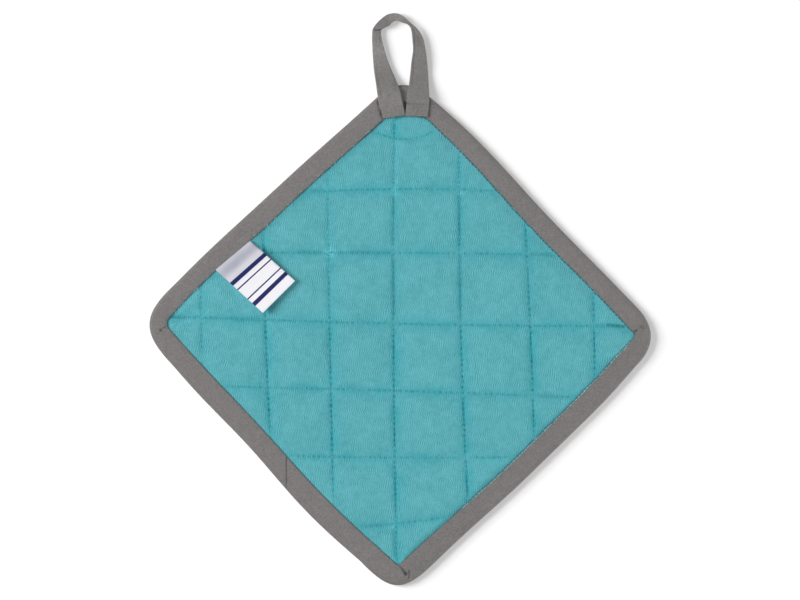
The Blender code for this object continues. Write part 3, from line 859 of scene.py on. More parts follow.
def marks_at(places, marks):
    """How deep the creases are at each place, in metres, and how much darker their painted shade makes it."""
    depths, shades = np.zeros(len(places)), np.zeros(len(places))
    for mark in marks:
        start, end = millimetres(mark[:2]), millimetres(mark[2:4])
        run = np.clip((places - start) @ (end - start) / ((end - start) @ (end - start)), 0.0, 1.0)
        off = np.linalg.norm(places - start - run[:, None] * (end - start), axis=1) / (mark.width * MM)
        near = np.exp(-(off**2))
        depths = np.maximum(depths, mark.depth * MM * near)
        shades = np.where(abs(mark.shade) * near > np.abs(shades), mark.shade * near, shades)
    return depths, shades


def edge_shades_at(points):
    """How much darker the painted shade makes the cloth beside the binding."""
    degrees = np.degrees(bearing(points))
    off = np.maximum(0.0, edges_at(bearing(points))[1] - distance(points)) / MM
    shades = np.zeros(len(points))
    for edge in EDGE_SHADES:
        beside = (degrees > edge.start_degrees) & (degrees < edge.finish_degrees)
        shades += beside * edge.shade * np.exp(-((off / edge.reach) ** 2))
    return shades


def smooth_rows(rows, steps):
    """More rows between the given ones, on a smooth curve through them."""
    rows = np.array(rows, float)
    padded = np.vstack((2 * rows[0] - rows[1], rows, 2 * rows[-1] - rows[-2]))
    filled = []
    for number in range(len(rows) - 1):
        before, start, finish, after = padded[number : number + 4]
        for share in np.arange(steps) / steps:
            filled.append(
                0.5
                * (
                    2 * start
                    + (finish - before) * share
                    + (2 * before - 5 * start + 4 * finish - after) * share**2
                    + (3 * start - before - 3 * finish + after) * share**3
                )
            )
    filled.append(rows[-1])
    return np.array(filled)


# ---------------------------------------------------------------- the quilted cloth


def cell_shares(steps):
    """Places across a cell, closer together at the sewn lines."""
    even = np.arange(steps) / steps
    return even - CLOSER_AT_LINES * np.sin(2 * math.pi * even) / (2 * math.pi)


def puff(numbers, fullness):
    """The crown of the puffs across one family of lines, 0 on a line and 1 halfway between two."""
    share = numbers % 1.0
    return (4 * share * (1 - share)) ** fullness


def line_tones(downs, acrosses):
    """How deep the nearest line down is at each place, and how dark its painted shade is."""
    tones = np.array(list(LINE_TONES.values()))
    last = tones.shape[1] - 1
    line = np.clip(np.round(downs).astype(int) - 1, 0, len(tones) - 1)
    place = np.clip(acrosses - 0.5, 0.0, last)
    before = np.floor(place).astype(int)
    share = np.clip((place - before - 0.5) / TONE_BLEND + 0.5, 0.0, 1.0)
    return tones[line, before] * (1 - share) + tones[line, np.minimum(before + 1, last)] * share


def off_line(numbers):
    """How far past the nearest line of one family each place lies, in millimetres."""
    return ((numbers + 0.5) % 1.0 - 0.5) * CELL


def drop(numbers, along, family):
    """How far the cloth has dropped to the nearest line of one family, deeper here and there along it."""
    lines = np.round(numbers) * LINE_VARIATION_STEP
    variation = noise_at(along / LINE_VARIATION_LENGTH, lines, LINE_SEEDS[family])
    near = np.exp(-((np.abs(off_line(numbers)) / DROP_WIDTH) ** DROP_POWER))
    if family == "down":
        near = near * line_tones(numbers, along)
    return DROP_SHARE[family] * near * (1 + LINE_VARIATION * variation)


def edge_rise(points):
    """How far the padding has risen from the binding: 0 at its sewn edge, 1 well inside."""
    rise = np.clip((across_at(points) - SEWN_EDGE) / EDGE_RISE, 0.0, 1.0)
    return np.sin(rise * math.pi / 2) ** RISE_FULLNESS


def puckers(numbers, along, family):
    """Small ridges across the lines of one family, as the stitches draw the cloth together."""
    reach = np.abs(off_line(numbers)) / PUCKER_REACH
    drift = noise_at(along * PUCKER_STEPS[0], np.round(numbers) * PUCKER_STEPS[1], PUCKER_SEEDS[family])
    waves = np.sin(2 * math.pi * (along * CELL / PUCKER_LENGTH + drift * PUCKER_DRIFT))
    return PUCKER_HEIGHT * MM * waves * reach * np.exp(1 - reach) * (PUCKER_LEVEL + drift)


def crossing_folds(downs, acrosses):
    """Soft folds that run out from each crossing of two lines, as the cloth is drawn in there."""
    right, up = off_line(downs), off_line(acrosses)
    reach = np.hypot(right, up) / CROSSING_FOLD_REACH
    crossings = np.column_stack((np.round(downs), np.round(acrosses))) * CROSSING_STEPS + CROSSING_START
    drift = noise_at(*crossings.T, SEEDS["crossings"])
    waves = np.sin(CROSSING_FOLDS * np.arctan2(up, right) + 2 * math.pi * CROSSING_DRIFT * drift)
    return CROSSING_FOLD_HEIGHT * MM * waves * reach * np.exp(1 - reach) * (CROSSING_LEVEL + drift)


def face_heights(downs, acrosses, points):
    """The height of the quilted cloth's face."""
    rise = edge_rise(points)
    drops = 1 - (1 - drop(downs, acrosses, "down")) * (1 - drop(acrosses, downs, "across"))
    crown = CROWN * puff(downs, CROWN_FULLNESS) * puff(acrosses, CROWN_FULLNESS)
    full = crown + DROP * (1 - drops)
    uneven = lumps(points, LUMPS, SEEDS["wadding"]) * np.clip(1 - drops, 0.0, 1.0)
    drawn = puckers(downs, acrosses, "down") + puckers(acrosses, downs, "across")
    drawn = drawn + crossing_folds(downs, acrosses)
    creased, _ = marks_at(points, QUILT_MARKS)
    return (CHANNEL_TOP + full * rise) * MM + (uneven + drawn) * rise - creased * rise


def back_heights(downs, acrosses, points):
    """The height of its back, flat where a puff is pressed on the floor."""
    full = puff(downs, HANG_FULLNESS) * puff(acrosses, HANG_FULLNESS) * edge_rise(points)
    return np.maximum(0.0, CHANNEL_BOTTOM - PUFF_HANG * full) * MM


def quilt_grid(steps):
    """One side of the quilted cloth seen from above: points, their line numbers, and faces."""
    numbers = np.concatenate([line + cell_shares(steps) for line in range(len(LINES_DOWN) + 1)])
    downs, acrosses = (grid.ravel() for grid in np.meshgrid(numbers, numbers, indexing="ij"))
    points = lattice_points(downs, acrosses)
    outside = across_at(points) < CUT_EDGE
    points[outside] = on_band(bearing(points[outside]), CUT_EDGE)
    faces = [face for face in grid_faces(len(numbers), len(numbers)) if not outside[list(face)].all()]
    used = np.unique(faces)
    renumbered = np.full(len(points), -1)
    renumbered[used] = np.arange(len(used))
    return points[used], downs[used], acrosses[used], renumbered[np.array(faces)]


def build_quilt(material):
    """The padded cloth as one closed piece, with its puffs on both sides."""
    bm = bmesh.new()
    lattice = bm.verts.layers.float_vector.new("lattice")
    shade = bm.verts.layers.float.new("shade")
    tone = bm.verts.layers.float.new("line_tone")
    for steps, heights in ((FACE_STEPS, face_heights), (BACK_STEPS, back_heights)):
        points, downs, acrosses, faces = quilt_grid(steps)
        levels = heights(downs, acrosses, points)
        verts = [bm.verts.new((x, y, z)) for (x, y), z in zip(points, levels)]
        shades = np.zeros(len(points))
        # The face carries painted shade from its creases and from beside the binding.
        if heights is face_heights:
            _, marked = marks_at(points, QUILT_MARKS)
            shades = marked + edge_shades_at(points)
        opened = np.clip((across_at(points) - SEWN_EDGE) / OPENED_REACH, 0.0, 1.0)
        tones = line_tones(downs, acrosses)
        for vert, *place, dark, line_tone in zip(verts, downs, acrosses, opened, shades, tones):
            vert[lattice] = place
            vert[shade] = dark
            vert[tone] = line_tone
        for face in faces:
            bm.faces.new([verts[corner] for corner in face])
    bmesh.ops.bridge_loops(bm, edges=[edge for edge in bm.edges if edge.is_boundary])
    mesh = bpy.data.meshes.new("quilt_cloth")
    bm.to_mesh(mesh)
    bm.free()
    return add_piece("quilt_cloth", mesh, material)


# ---------------------------------------------------------------- the quilting thread


def stitch_shape():
    """One stitch along X: its points, as shares of its length and radius, and its faces."""
    points = [(-1.0, 0.0, 0.0)]
    for along, radius in STITCH_RINGS:
        for corner in range(STITCH_SIDES):
            turn = 2 * math.pi * corner / STITCH_SIDES
            points.append((along, radius * math.cos(turn), radius * math.sin(turn)))
    points.append((1.0, 0.0, 0.0))
    faces = grid_faces(len(STITCH_RINGS), STITCH_SIDES, first=1, wrap_columns=True)
    last = len(points) - 1
    for corner in range(STITCH_SIDES):
        onwards = (corner + 1) % STITCH_SIDES
        faces.append((0, 1 + onwards, 1 + corner))
        faces.append((last, last - STITCH_SIDES + corner, last - STITCH_SIDES + onwards))
    return np.array(points), faces


def build_stitches(name, starts, ends, ups, radius, dip, material):
    """Stitches as one mesh, each from its start to its end, sunk at both and a little off its line."""
    shape, faces = stitch_shape()
    stray = np.random.default_rng(len(starts))
    middles, halves = (starts + ends) / 2, (ends - starts) / 2
    along = unit(halves)
    sideways = unit(np.cross(ups, along))
    ups = np.cross(along, sideways)
    middles = middles + sideways * stray.normal(0.0, STITCH_STRAY * MM, (len(starts), 1))
    halves = halves * stray.uniform(*STITCH_LENGTHS, (len(starts), 1))
    thick = stray.uniform(*STITCH_THICKNESSES, len(starts)) * radius
    points, all_faces = [], []
    for number in range(len(starts)):
        sunk = shape[:, 2:] * thick[number] - dip * shape[:, :1] ** 2
        points.append(
            middles[number]
            + shape[:, :1] * halves[number]
            + shape[:, 1:2] * thick[number] * sideways[number]
            + sunk * ups[number]
        )
        all_faces += [tuple(corner + number * len(shape) for corner in face) for face in faces]
    return add_mesh(name, np.concatenate(points), all_faces, material)


def quilting_rows():
    """Every quilting stitch as two pairs of line numbers, its start and its end."""
    step = 1.0 / STITCHES_A_CELL
    starts, ends = [], []
    for line in range(1, len(LINES_DOWN) + 1):
        for number in range(int((len(LINES_DOWN) + 1) * STITCHES_A_CELL)):
            middle = (number + 0.5) * step
            first, last = middle - step * STITCH_SHARE / 2, middle + step * STITCH_SHARE / 2
            starts += [(line, first), (first, line)]
            ends += [(line, last), (last, line)]
    starts, ends = np.array(starts, float), np.array(ends, float)
    middles = lattice_points(*((starts + ends) / 2).T)
    inside = across_at(middles) > SEWN_EDGE + STITCH_CLEAR
    return starts[inside], ends[inside]


def upright(count, up=1.0):
    """The same upward direction for each of so many stitches."""
    return np.tile((0.0, 0.0, up), (count, 1))


def build_quilting(material):
    """The quilting thread on the face and on the back."""
    starts, ends = quilting_rows()
    pieces = []
    for name, heights, up in (("face_quilting", face_heights, 1.0), ("back_quilting", back_heights, -1.0)):
        places = []
        for numbers in (starts, ends):
            flat = lattice_points(*numbers.T)
            levels = heights(*numbers.T, flat) + up * STITCH_LIFT * MM
            places.append(np.column_stack((flat, levels)))
        ups = upright(len(starts), up)
        pieces.append(build_stitches(name, *places, ups, STITCH_RADIUS * MM, STITCH_DIP * MM, material))
    return pieces


def line_numbers(points):
    """The line numbers down and across at each point, found by closing in on them."""
    downs, acrosses = np.full((2, len(points)), (len(LINES_DOWN) + 1) / 2)
    for _ in range(CROSSING_ROUNDS):
        off = points - lattice_points(downs, acrosses)
        downs = downs + off[:, 0] / (CELL * MM)
        acrosses = acrosses - off[:, 1] / (CELL * MM)
    return downs, acrosses


def on_cloth(bearings, across, lift):
    """Places on the quilted cloth's face beside the binding."""
    flat = on_band(bearings, across)
    return np.column_stack((flat, face_heights(*line_numbers(flat), flat) + lift))


def row_along(across, pitch, share):
    """The bearings where the stitches of a row along the binding start and end."""
    bearings = np.linspace(-math.pi, math.pi, RING_STEPS)
    ring = on_band(bearings, across(bearings))
    lengths = np.concatenate(([0.0], np.cumsum(np.linalg.norm(np.diff(ring, axis=0), axis=1))))
    count = int(lengths[-1] / (pitch * MM))
    middles = (np.arange(count) + 0.5) / count
    half = share / 2 / count
    ends = (middles - half, middles + half)
    return [np.interp(shares * lengths[-1], lengths, bearings) for shares in ends]


def ditch_places(bearings):
    """How far across the dark thread lies on each bearing, and its radius."""
    degrees, *columns = zip(*DITCH_PLACES)
    return [np.interp(np.degrees(bearings), degrees, column) for column in columns]


def build_ditch_thread(material):
    """The dark thread that sews the binding down, lying in the ditch beside it; its darkness is also painted shade."""
    rows = row_along(lambda bearings: ditch_places(bearings)[0], DITCH_PITCH, DITCH_SHARE)
    places = [on_cloth(bearings, ditch_places(bearings)[0], DITCH_LIFT * MM) for bearings in rows]
    radii = ditch_places(rows[0])[1] * MM
    return build_stitches("ditch_thread", *places, upright(len(radii)), radii, THREAD_DIP * MM, material)


def build_edge_thread(material):
    """The pale thread beside the binding's edge on the lower right."""
    rows = row_along(lambda bearings: EDGE_THREAD_ACROSS, EDGE_THREAD_PITCH, EDGE_THREAD_SHARE)
    first, last = np.radians(EDGE_THREAD_BEARINGS)
    inside = (rows[0] > first) & (rows[1] < last)
    places = []
    for bearings in rows:
        flat = on_band(bearings[inside], EDGE_THREAD_ACROSS)
        places.append(np.column_stack((flat, np.full(len(flat), EDGE_THREAD_HEIGHT * MM))))
    ups = upright(inside.sum())
    return build_stitches("edge_thread", *places, ups, EDGE_THREAD_RADIUS * MM, THREAD_DIP * MM, material)


def build_fibres(material):
    """Pale loose fibres that stand out of the ditch here and there."""
    stray = np.random.default_rng(FIBRE_SEED)
    rows = []
    for fibres in FIBRES:
        bearings = np.radians(stray.uniform(fibres.start_degrees, fibres.finish_degrees, fibres.count))
        across = stray.uniform(*FIBRE_ACROSS, fibres.count)
        start = on_cloth(bearings, across, FIBRE_LIFT * MM)
        start[across < SEWN_EDGE, 2] = FIBRE_HEIGHT * MM
        lengths = fibres.length * MM * stray.uniform(*FIBRE_LENGTHS, fibres.count)
        turns = bearings + math.pi / 2 + stray.normal(0.0, FIBRE_TURN, fibres.count)
        run = np.column_stack((np.cos(turns), np.sin(turns), stray.normal(0.0, FIBRE_SLOPE, fibres.count)))
        rows.append((start, start + run * lengths[:, None], upright(fibres.count), fibres.radius * MM))
    return [
        build_stitches(f"loose_fibres_{number}", *row, FIBRE_DIP * MM, material)
        for number, row in enumerate(rows, 1)
    ]


# ---------------------------------------------------------------- the binding


def section_bearings():
    """The bearings of the binding's sections, closest together at the corners and at the joined ends."""
    fine = np.arange(-math.pi, math.pi, SECTION_STEP * MM / distance(OUTSIDE).max())
    places = on_band(fine, 0.5)
    busy = [(corner.x, corner.y) for corner in BINDING_INSIDE.values()]
    busy.append((JOIN_X, sum(JOIN_Y) / 2))
    near = np.min([np.linalg.norm(places - millimetres(place), axis=1) for place in busy], axis=0)
    keep = (near < BUSY_REACH * MM) | (np.arange(len(fine)) % PLAIN_EVERY == 0)
    return fine[keep]


def binding_profile():
    """The binding's section as a closed row of spots, with finer steps over its face."""
    face = smooth_rows(BINDING_FACE, FACE_ROWS)
    rest = smooth_rows((BINDING_FACE[-1], *BINDING_BACK), PLAIN_ROWS)[1:]
    lining = smooth_rows((BINDING_BACK[-1], *BINDING_LINING), PLAIN_ROWS)[1:]
    return np.concatenate((face, rest, lining)), len(face)


def tuck_relief(places, tuck):
    """The layer that a corner's tuck adds on one side of its fold."""
    start, end = millimetres(tuck[:2]), millimetres(tuck[2:4])
    along = (end - start) / np.linalg.norm(end - start)
    offsets = places - start
    run = offsets @ along / np.linalg.norm(end - start)
    off = (offsets @ np.array((-along[1], along[0]))) / MM
    beyond = np.linalg.norm(offsets - np.clip(run, 0.0, 1.0)[:, None] * (end - start), axis=1) / MM
    held = np.clip(TUCK_END - run, 0.0, 1.0) * np.exp(-((beyond / TUCK_FADE) ** 2))
    return abs(tuck.step) * MM * np.clip(off * np.sign(tuck.step) / TUCK_EDGE, 0.0, 1.0) * held


def join_relief(places):
    """The low step across the binding where its two ends are joined."""
    off = places[:, 0] / MM - JOIN_X
    height = places[:, 1] / MM
    beside = (height > JOIN_Y[0]) & (height < JOIN_Y[1])
    step = np.clip(-off / TUCK_EDGE, 0.0, 1.0) * np.exp(-np.maximum(0.0, -off) / JOIN_FADE)
    return JOIN_STEP * MM * beside * step


def build_binding(material):
    """The folded tape round the cut edge as one closed ring."""
    bearings = section_bearings()
    profile, face_rows = binding_profile()
    rows, shades = [], []
    for number, (across, height) in enumerate(profile):
        places = on_band(bearings, across)
        levels = np.full(len(places), height * MM)
        shade = np.zeros(len(places))
        if number < face_rows:
            weight = np.clip((height - CHANNEL_TOP) / BINDING_RELIEF_RISE, 0.0, 1.0)
            # Painted shade in its creases, in the gaps at the loop's feet and along its lower right side.
            creased, shade = marks_at(places, BINDING_MARKS)
            relief = lumps(places, BINDING_LUMPS, SEEDS["binding"]) + join_relief(places) - creased
            relief += sum(tuck_relief(places, tuck) for tuck in CORNER_TUCKS.values())
            levels += relief * weight
        rows.append(np.column_stack((places, levels)))
        shades.append(shade)
    faces = grid_faces(len(rows), len(bearings), wrap_rows=True, wrap_columns=True)
    return add_mesh("binding_tape", np.concatenate(rows), faces, material, shade=np.concatenate(shades))


# ---------------------------------------------------------------- the hanging loop


def tape_section():
    """The tape's section, over its upper face and back below: share of its width, and height."""
    upper = smooth_rows(TAPE_FACE, TAPE_FACE_STEPS)
    lower = np.array(TAPE_FACE)[-2:0:-1] * (1.0, -1.0)
    section = np.vstack((upper, lower))
    return section * (1.0, TAPE_THICKNESS * MM / 2), len(upper)


def tape_frames():
    """All along the tape: its outer edge, the way to its inner edge, its upward direction and its tone of painted
    light and shade.
    """
    strips = smooth_rows(LOOP_STRIPS, LOOP_STEPS)
    outer, inner, tone = strips[:, :3] * MM, strips[:, 3:6] * MM, strips[:, 6]
    through = unit(np.cross(inner - outer, np.gradient((outer + inner) / 2, axis=0)))
    return outer, inner - outer, through, tone


def build_loop(material):
    """The folded tape of the hanging loop, creased where it turns."""
    outer, width, through, tone = tape_frames()
    section, upper = tape_section()
    rows = outer[:, None] + width[:, None] * section[None, :, :1] + through[:, None] * section[None, :, 1:]
    count = len(section)
    points = rows.reshape(-1, 3)
    # Painted shade in its creases.
    creased, shade = marks_at(points[:, :2], LOOP_MARKS)
    face_up = np.tile(np.arange(count) < upper, len(outer))
    relief = (lumps(points, LOOP_LUMPS, SEEDS["loop"]) - creased) * face_up
    points = points + np.repeat(through, count, axis=0) * relief[:, None]
    # Painted light and shade along the tape from its tone, added to the painted shade of its creases.
    shade = shade * face_up + np.repeat(tone, count)
    faces = grid_faces(len(outer), count, wrap_columns=True)
    for first in (0, (len(outer) - 1) * count):
        faces.append(tuple(range(first, first + count)))
    return add_mesh("loop_tape", points, faces, material, shade=shade)


# ---------------------------------------------------------------- the side label


def build_label(material):
    """The folded label: one thin ribbon that runs out over the puffs and back underneath."""
    corners = {name: millimetres(place) for name, place in LABEL_CORNERS.items()}
    lies = smooth_rows(LABEL_ROWS, LABEL_STEPS)
    shares, levels = lies[:, 0], lies[:, 1] * MM
    fold = np.linspace(-math.pi / 2, math.pi / 2, LABEL_FOLD_STEPS)[1:-1]
    half_gap = LABEL_GAP * MM / 2
    fold_share = shares[-1] + np.cos(fold) * half_gap / (LABEL_LENGTH * MM)
    run_shares = np.concatenate((shares, fold_share, shares[::-1]))
    fold_levels = levels[-1] - np.sin(fold) * half_gap
    run_levels = np.concatenate((levels + half_gap, fold_levels, levels[::-1] - half_gap))
    columns = np.linspace(0.0, 1.0, LABEL_COLUMNS)
    left = corners["sewn_left"] + np.outer(run_shares, corners["free_bottom"] - corners["sewn_left"])
    right = corners["sewn_top"] + np.outer(run_shares, corners["free_right"] - corners["sewn_top"])
    flat = left[:, None] * (1 - columns[None, :, None]) + right[:, None] * columns[None, :, None]
    height = np.repeat(run_levels[:, None], LABEL_COLUMNS, axis=1)
    middle = np.dstack((flat, height))
    lattice = np.dstack((
        np.repeat(run_shares[:, None] * LABEL_LENGTH, LABEL_COLUMNS, axis=1),
        np.repeat(columns[None] * LABEL_WIDTH, len(run_shares), axis=0),
        np.zeros(height.shape),
    ))
    return add_sheet("label_ribbon", middle, LABEL_LAYER * MM, material, lattice)


def add_sheet(name, middle, thickness, material, lattice):
    """A thin closed sheet about a grid of points on its middle."""
    normals = unit(np.cross(np.gradient(middle, axis=0), np.gradient(middle, axis=1)))
    rows, columns = middle.shape[:2]
    count = rows * columns
    points = np.concatenate([(middle + normals * thickness * sign / 2).reshape(-1, 3) for sign in (1, -1)])
    faces = grid_faces(rows, columns) + grid_faces(rows, columns, first=count)
    rim = list(range(columns))
    rim += [row * columns + columns - 1 for row in range(1, rows)]
    rim += [(rows - 1) * columns + column for column in range(columns - 2, -1, -1)]
    rim += [row * columns for row in range(rows - 2, 0, -1)]
    for here, there in zip(rim, rim[1:] + rim[:1]):
        faces.append((here, there, there + count, here + count))
    return add_mesh(name, points, faces, material, np.concatenate([lattice.reshape(-1, 3)] * 2))


# ---------------------------------------------------------------- materials


# Which inputs of a colour mix take its share and its two colours.
MIX_INPUTS = (0, 6, 7)


class Value:
    """What a node gives. A sum written with such values adds the nodes that work it out."""

    def __init__(self, shades, socket):
        self.shades = shades
        self.socket = socket

    def __add__(self, other):
        return self.shades.maths("ADD", self, other)

    def __sub__(self, other):
        return self.shades.maths("SUBTRACT", self, other)

    def __rsub__(self, other):
        return self.shades.maths("SUBTRACT", other, self)

    def __mul__(self, other):
        return self.shades.maths("MULTIPLY", self, other)

    def __truediv__(self, other):
        return self.shades.maths("DIVIDE", self, other)

    def __abs__(self):
        return self.shades.maths("ABSOLUTE", self)

    def __round__(self):
        return self.shades.maths("ROUND", self)


class Shades:
    """A material's node tree, with short calls for the nodes that these materials use."""

    def __init__(self, name, roughness, sheen=0.0):
        self.material = bpy.data.materials.new(name)
        self.material.use_nodes = True
        self.tree = self.material.node_tree
        self.shader = self.tree.nodes["Principled BSDF"]
        self.shader.inputs["Roughness"].default_value = roughness
        self.shader.inputs["Sheen Weight"].default_value = sheen

    def feed(self, socket, value):
        """Link a value to a socket, or set it there."""
        value = value.socket if isinstance(value, Value) else value
        if isinstance(value, bpy.types.NodeSocket):
            self.tree.links.new(value, socket)
        elif value is not None:
            socket.default_value = value

    def node(self, kind, inputs=(), **settings):
        """A new node with its settings, and its inputs fed in order."""
        node = self.tree.nodes.new(kind)
        for name, value in settings.items():
            setattr(node, name, value)
        for socket, value in zip(node.inputs, inputs):
            self.feed(socket, value)
        return node

    def value(self, kind, inputs=(), **settings):
        """The first value that a new node gives."""
        return Value(self, self.node(kind, inputs, **settings).outputs[0])

    def maths(self, operation, *values):
        """The result of one sum."""
        return self.value("ShaderNodeMath", values, operation=operation)

    def most(self, *values):
        """The largest of several values."""
        return reduce(lambda first, second: self.maths("MAXIMUM", first, second), values)

    def from_mesh(self, name, output="Fac"):
        """A value that the mesh carries, such as how much darker the painted shade makes the cloth in a crease."""
        attribute = self.node("ShaderNodeAttribute", attribute_name=name, attribute_type="GEOMETRY")
        return Value(self, attribute.outputs[output])

    def parts(self, vector):
        """The three parts of a vector."""
        return [Value(self, part) for part in self.node("ShaderNodeSeparateXYZ", (vector,)).outputs]

    def place(self):
        """A place on the object in millimetres, and its x, y and z."""
        coordinates = self.node("ShaderNodeTexCoord").outputs["Object"]
        scaled = self.value("ShaderNodeVectorMath", (coordinates, (1 / MM,) * 3), operation="MULTIPLY")
        return scaled, self.parts(scaled)

    def clouds(self, vector, size, detail=2.0, stretch=(1.0, 1.0, 1.0)):
        """Noise from 0 to 1 with lumps of this size in millimetres."""
        scale = tuple(side / size for side in stretch)
        stretched = self.value("ShaderNodeVectorMath", (vector, scale), operation="MULTIPLY")
        return self.value("ShaderNodeTexNoise", (stretched, None, 1.0, detail), noise_dimensions="3D")

    def ramp(self, value, low, high, at_low, at_high, kind="LINEAR"):
        """A value that goes from one level to another as the given value goes from low to high."""
        inputs = (value, low, high, at_low, at_high)
        return self.value("ShaderNodeMapRange", inputs, interpolation_type=kind)

    def patches(self, vector, patch):
        """Noise turned into a share, by a row of that kind."""
        return self.ramp(self.clouds(vector, patch.size, patch.detail), *patch[2:])

    def stripes(self, first, second, pitch, degrees, waver=None):
        """Even waves from -1 to 1 across one direction in the plane of two coordinates."""
        turn = math.radians(degrees)
        run = first * math.cos(turn) + second * math.sin(turn)
        if waver is not None:
            run = run + waver
        return self.maths("SINE", run * (2 * math.pi / pitch))

    def mottled(self, total, place, layers):
        """A shade with layers of soft mottling added: their sizes, details and strengths."""
        for size, detail, strength in layers:
            total = total + (self.clouds(place, size, detail) - 0.5) * strength
        return total

    def mix(self, share, first, second):
        """A colour between two, by a share."""
        node = self.node("ShaderNodeMix", data_type="RGBA")
        for slot, value in zip(MIX_INPUTS, (share, first, second)):
            self.feed(node.inputs[slot], (*value, 1.0) if isinstance(value, tuple) else value)
        return Value(self, node.outputs[2])

    def spot(self, first, second, reach, height):
        """A soft round spot where two distances are near 0."""
        share = self.maths("SQRT", first * first + second * second) / reach
        return self.ramp(share, SPOT_FLAT, 1.0, height, 0.0, "SMOOTHSTEP")

    def colour(self, base, shade, deep_red=False):
        """Paint the surface with a base colour times a shade about 1, twice on red where it is deep."""
        red = shade * shade if deep_red else shade
        tint = self.value("ShaderNodeCombineXYZ", (red, shade, shade))
        painted = self.value("ShaderNodeVectorMath", (base, tint), operation="MULTIPLY")
        self.feed(self.shader.inputs["Base Color"], painted)

    def bump(self, height, depth):
        """Raise the surface by this height times a depth in millimetres."""
        bump = self.node("ShaderNodeBump")
        bump.inputs["Strength"].default_value = 1.0
        bump.inputs["Distance"].default_value = depth * MM
        self.feed(bump.inputs["Height"], height)
        self.feed(self.shader.inputs["Normal"], bump.outputs[0])


def teal_cloth():
    """Washed cotton twill: short wales in patches, soft mottling, and painted shade along the sewn lines."""
    shades = Shades("teal_twill", roughness=0.9, sheen=0.1)
    place, (x, y, _) = shades.place()
    waver = (shades.clouds(place, WALE_WAVER_SIZE, stretch=WALE_WAVER_STRETCH) - 0.5) * WALE_WAVER
    wales = shades.stripes(x, y, TWILL_PITCH, TWILL_TURN, waver)
    total = wales * (shades.patches(place, WALE_PATCHES) * TWILL_SHADE)
    total = shades.mottled(total, place, CLOTH_CLOUDS)
    # Painted shade: the deeper colour beside the sewn lines, the dark needle holes and creases, and the mesh's shade.
    folds, holes = line_shades(shades, place)
    marked = shades.from_mesh("shade")
    pale = shades.maths("MINIMUM", marked, 0.0) * shades.patches(place, PALE_FLECKS)
    dark = shades.most(holes, marked, 0.0)
    shades.colour(shades.mix(folds, TEAL, TEAL_FOLD_SHADE), (total + 1.0 + pale) * (1.0 - dark), deep_red=True)
    shades.bump(wales * WALE_HEIGHT + shades.clouds(place, NAP_SIZE, 1.0), TWILL_DEPTH)
    return shades.material


def line_shades(shades, place):
    """The painted shade beside the sewn lines as a deeper colour, and the painted shade of their needle holes."""
    down, across, opened = shades.parts(shades.from_mesh("lattice", "Vector"))
    layers = (FOLD_SHADE_PATCHES, HOLE_PATCHES, CREASE_PATCHES)
    uneven, deeper, creased = (shades.patches(place, patch) for patch in layers)
    all_folds, all_holes = [], []
    for family, line, along in (("down", down, across), ("across", across, down)):
        fold, depth = FOLD_SHADES[family], HOLE_SHADE[family]
        off = (line - round(line)) * CELL
        # Painted shade beside the line: a deeper colour, fading out on each side.
        width = shades.maths("GREATER_THAN", off, 0.0) * (fold.after - fold.before) + fold.before
        folds = shades.maths("EXPONENT", abs(off) / width * -1.0) * fold.strength
        count = along * STITCHES_A_CELL
        from_hole = (count - round(count)) * (CELL / STITCHES_A_CELL)
        # Painted shade in the needle holes and along the line's fine crease.
        holes = shades.spot(off, from_hole, HOLE_REACH, depth) * deeper
        crease = shades.spot(off, 0.0, CREASE_WIDTH, CREASE_SHADE * depth) * creased
        holes = shades.most(holes, crease)
        # A line down's tone scales its painted shade, stretch by stretch.
        if family == "down":
            tone = shades.from_mesh("line_tone")
            folds, holes = folds * tone, holes * tone
        all_folds.append(folds)
        all_holes.append(holes)
    folds = shades.most(*all_folds) * uneven * shades.ramp(opened, *FOLD_SHADE_FADE)
    return folds, shades.most(*all_holes) * opened


def thread(name, base, twist_shade=0.12):
    """Twisted sewing thread."""
    shades = Shades(name, roughness=0.6)
    _, (x, y, _) = shades.place()
    shades.colour(base, shades.stripes(x, y, THREAD_PITCH, THREAD_TURN) * twist_shade + 1.0)
    return shades.material


def grey_cotton(name, base, turn):
    """Plain-woven cotton tape, its threads running at a turn from X, with painted shade in its creases and the mesh's
    painted light and shade.
    """
    shades = Shades(name, roughness=0.88, sheen=0.08)
    place, (x, y, _) = shades.place()
    warp, weft = (
        shades.stripes(x, y, TAPE_PITCH, turn + quarter, shades.clouds(place, size, 1.0) - 0.5)
        for quarter, size in TAPE_WAVERS
    )
    weave = warp * weft
    total = shades.mottled(weave * TAPE_WEAVE_SHADE, place, TAPE_CLOUDS)
    # Painted light and shade that the mesh carries.
    shades.colour(base, (total + 1.0) * (1.0 - shades.from_mesh("shade")))
    shades.bump(weave * TAPE_WEAVE_HEIGHT + shades.clouds(place, TAPE_NAP_SIZE), TAPE_DEPTH)
    return shades.material


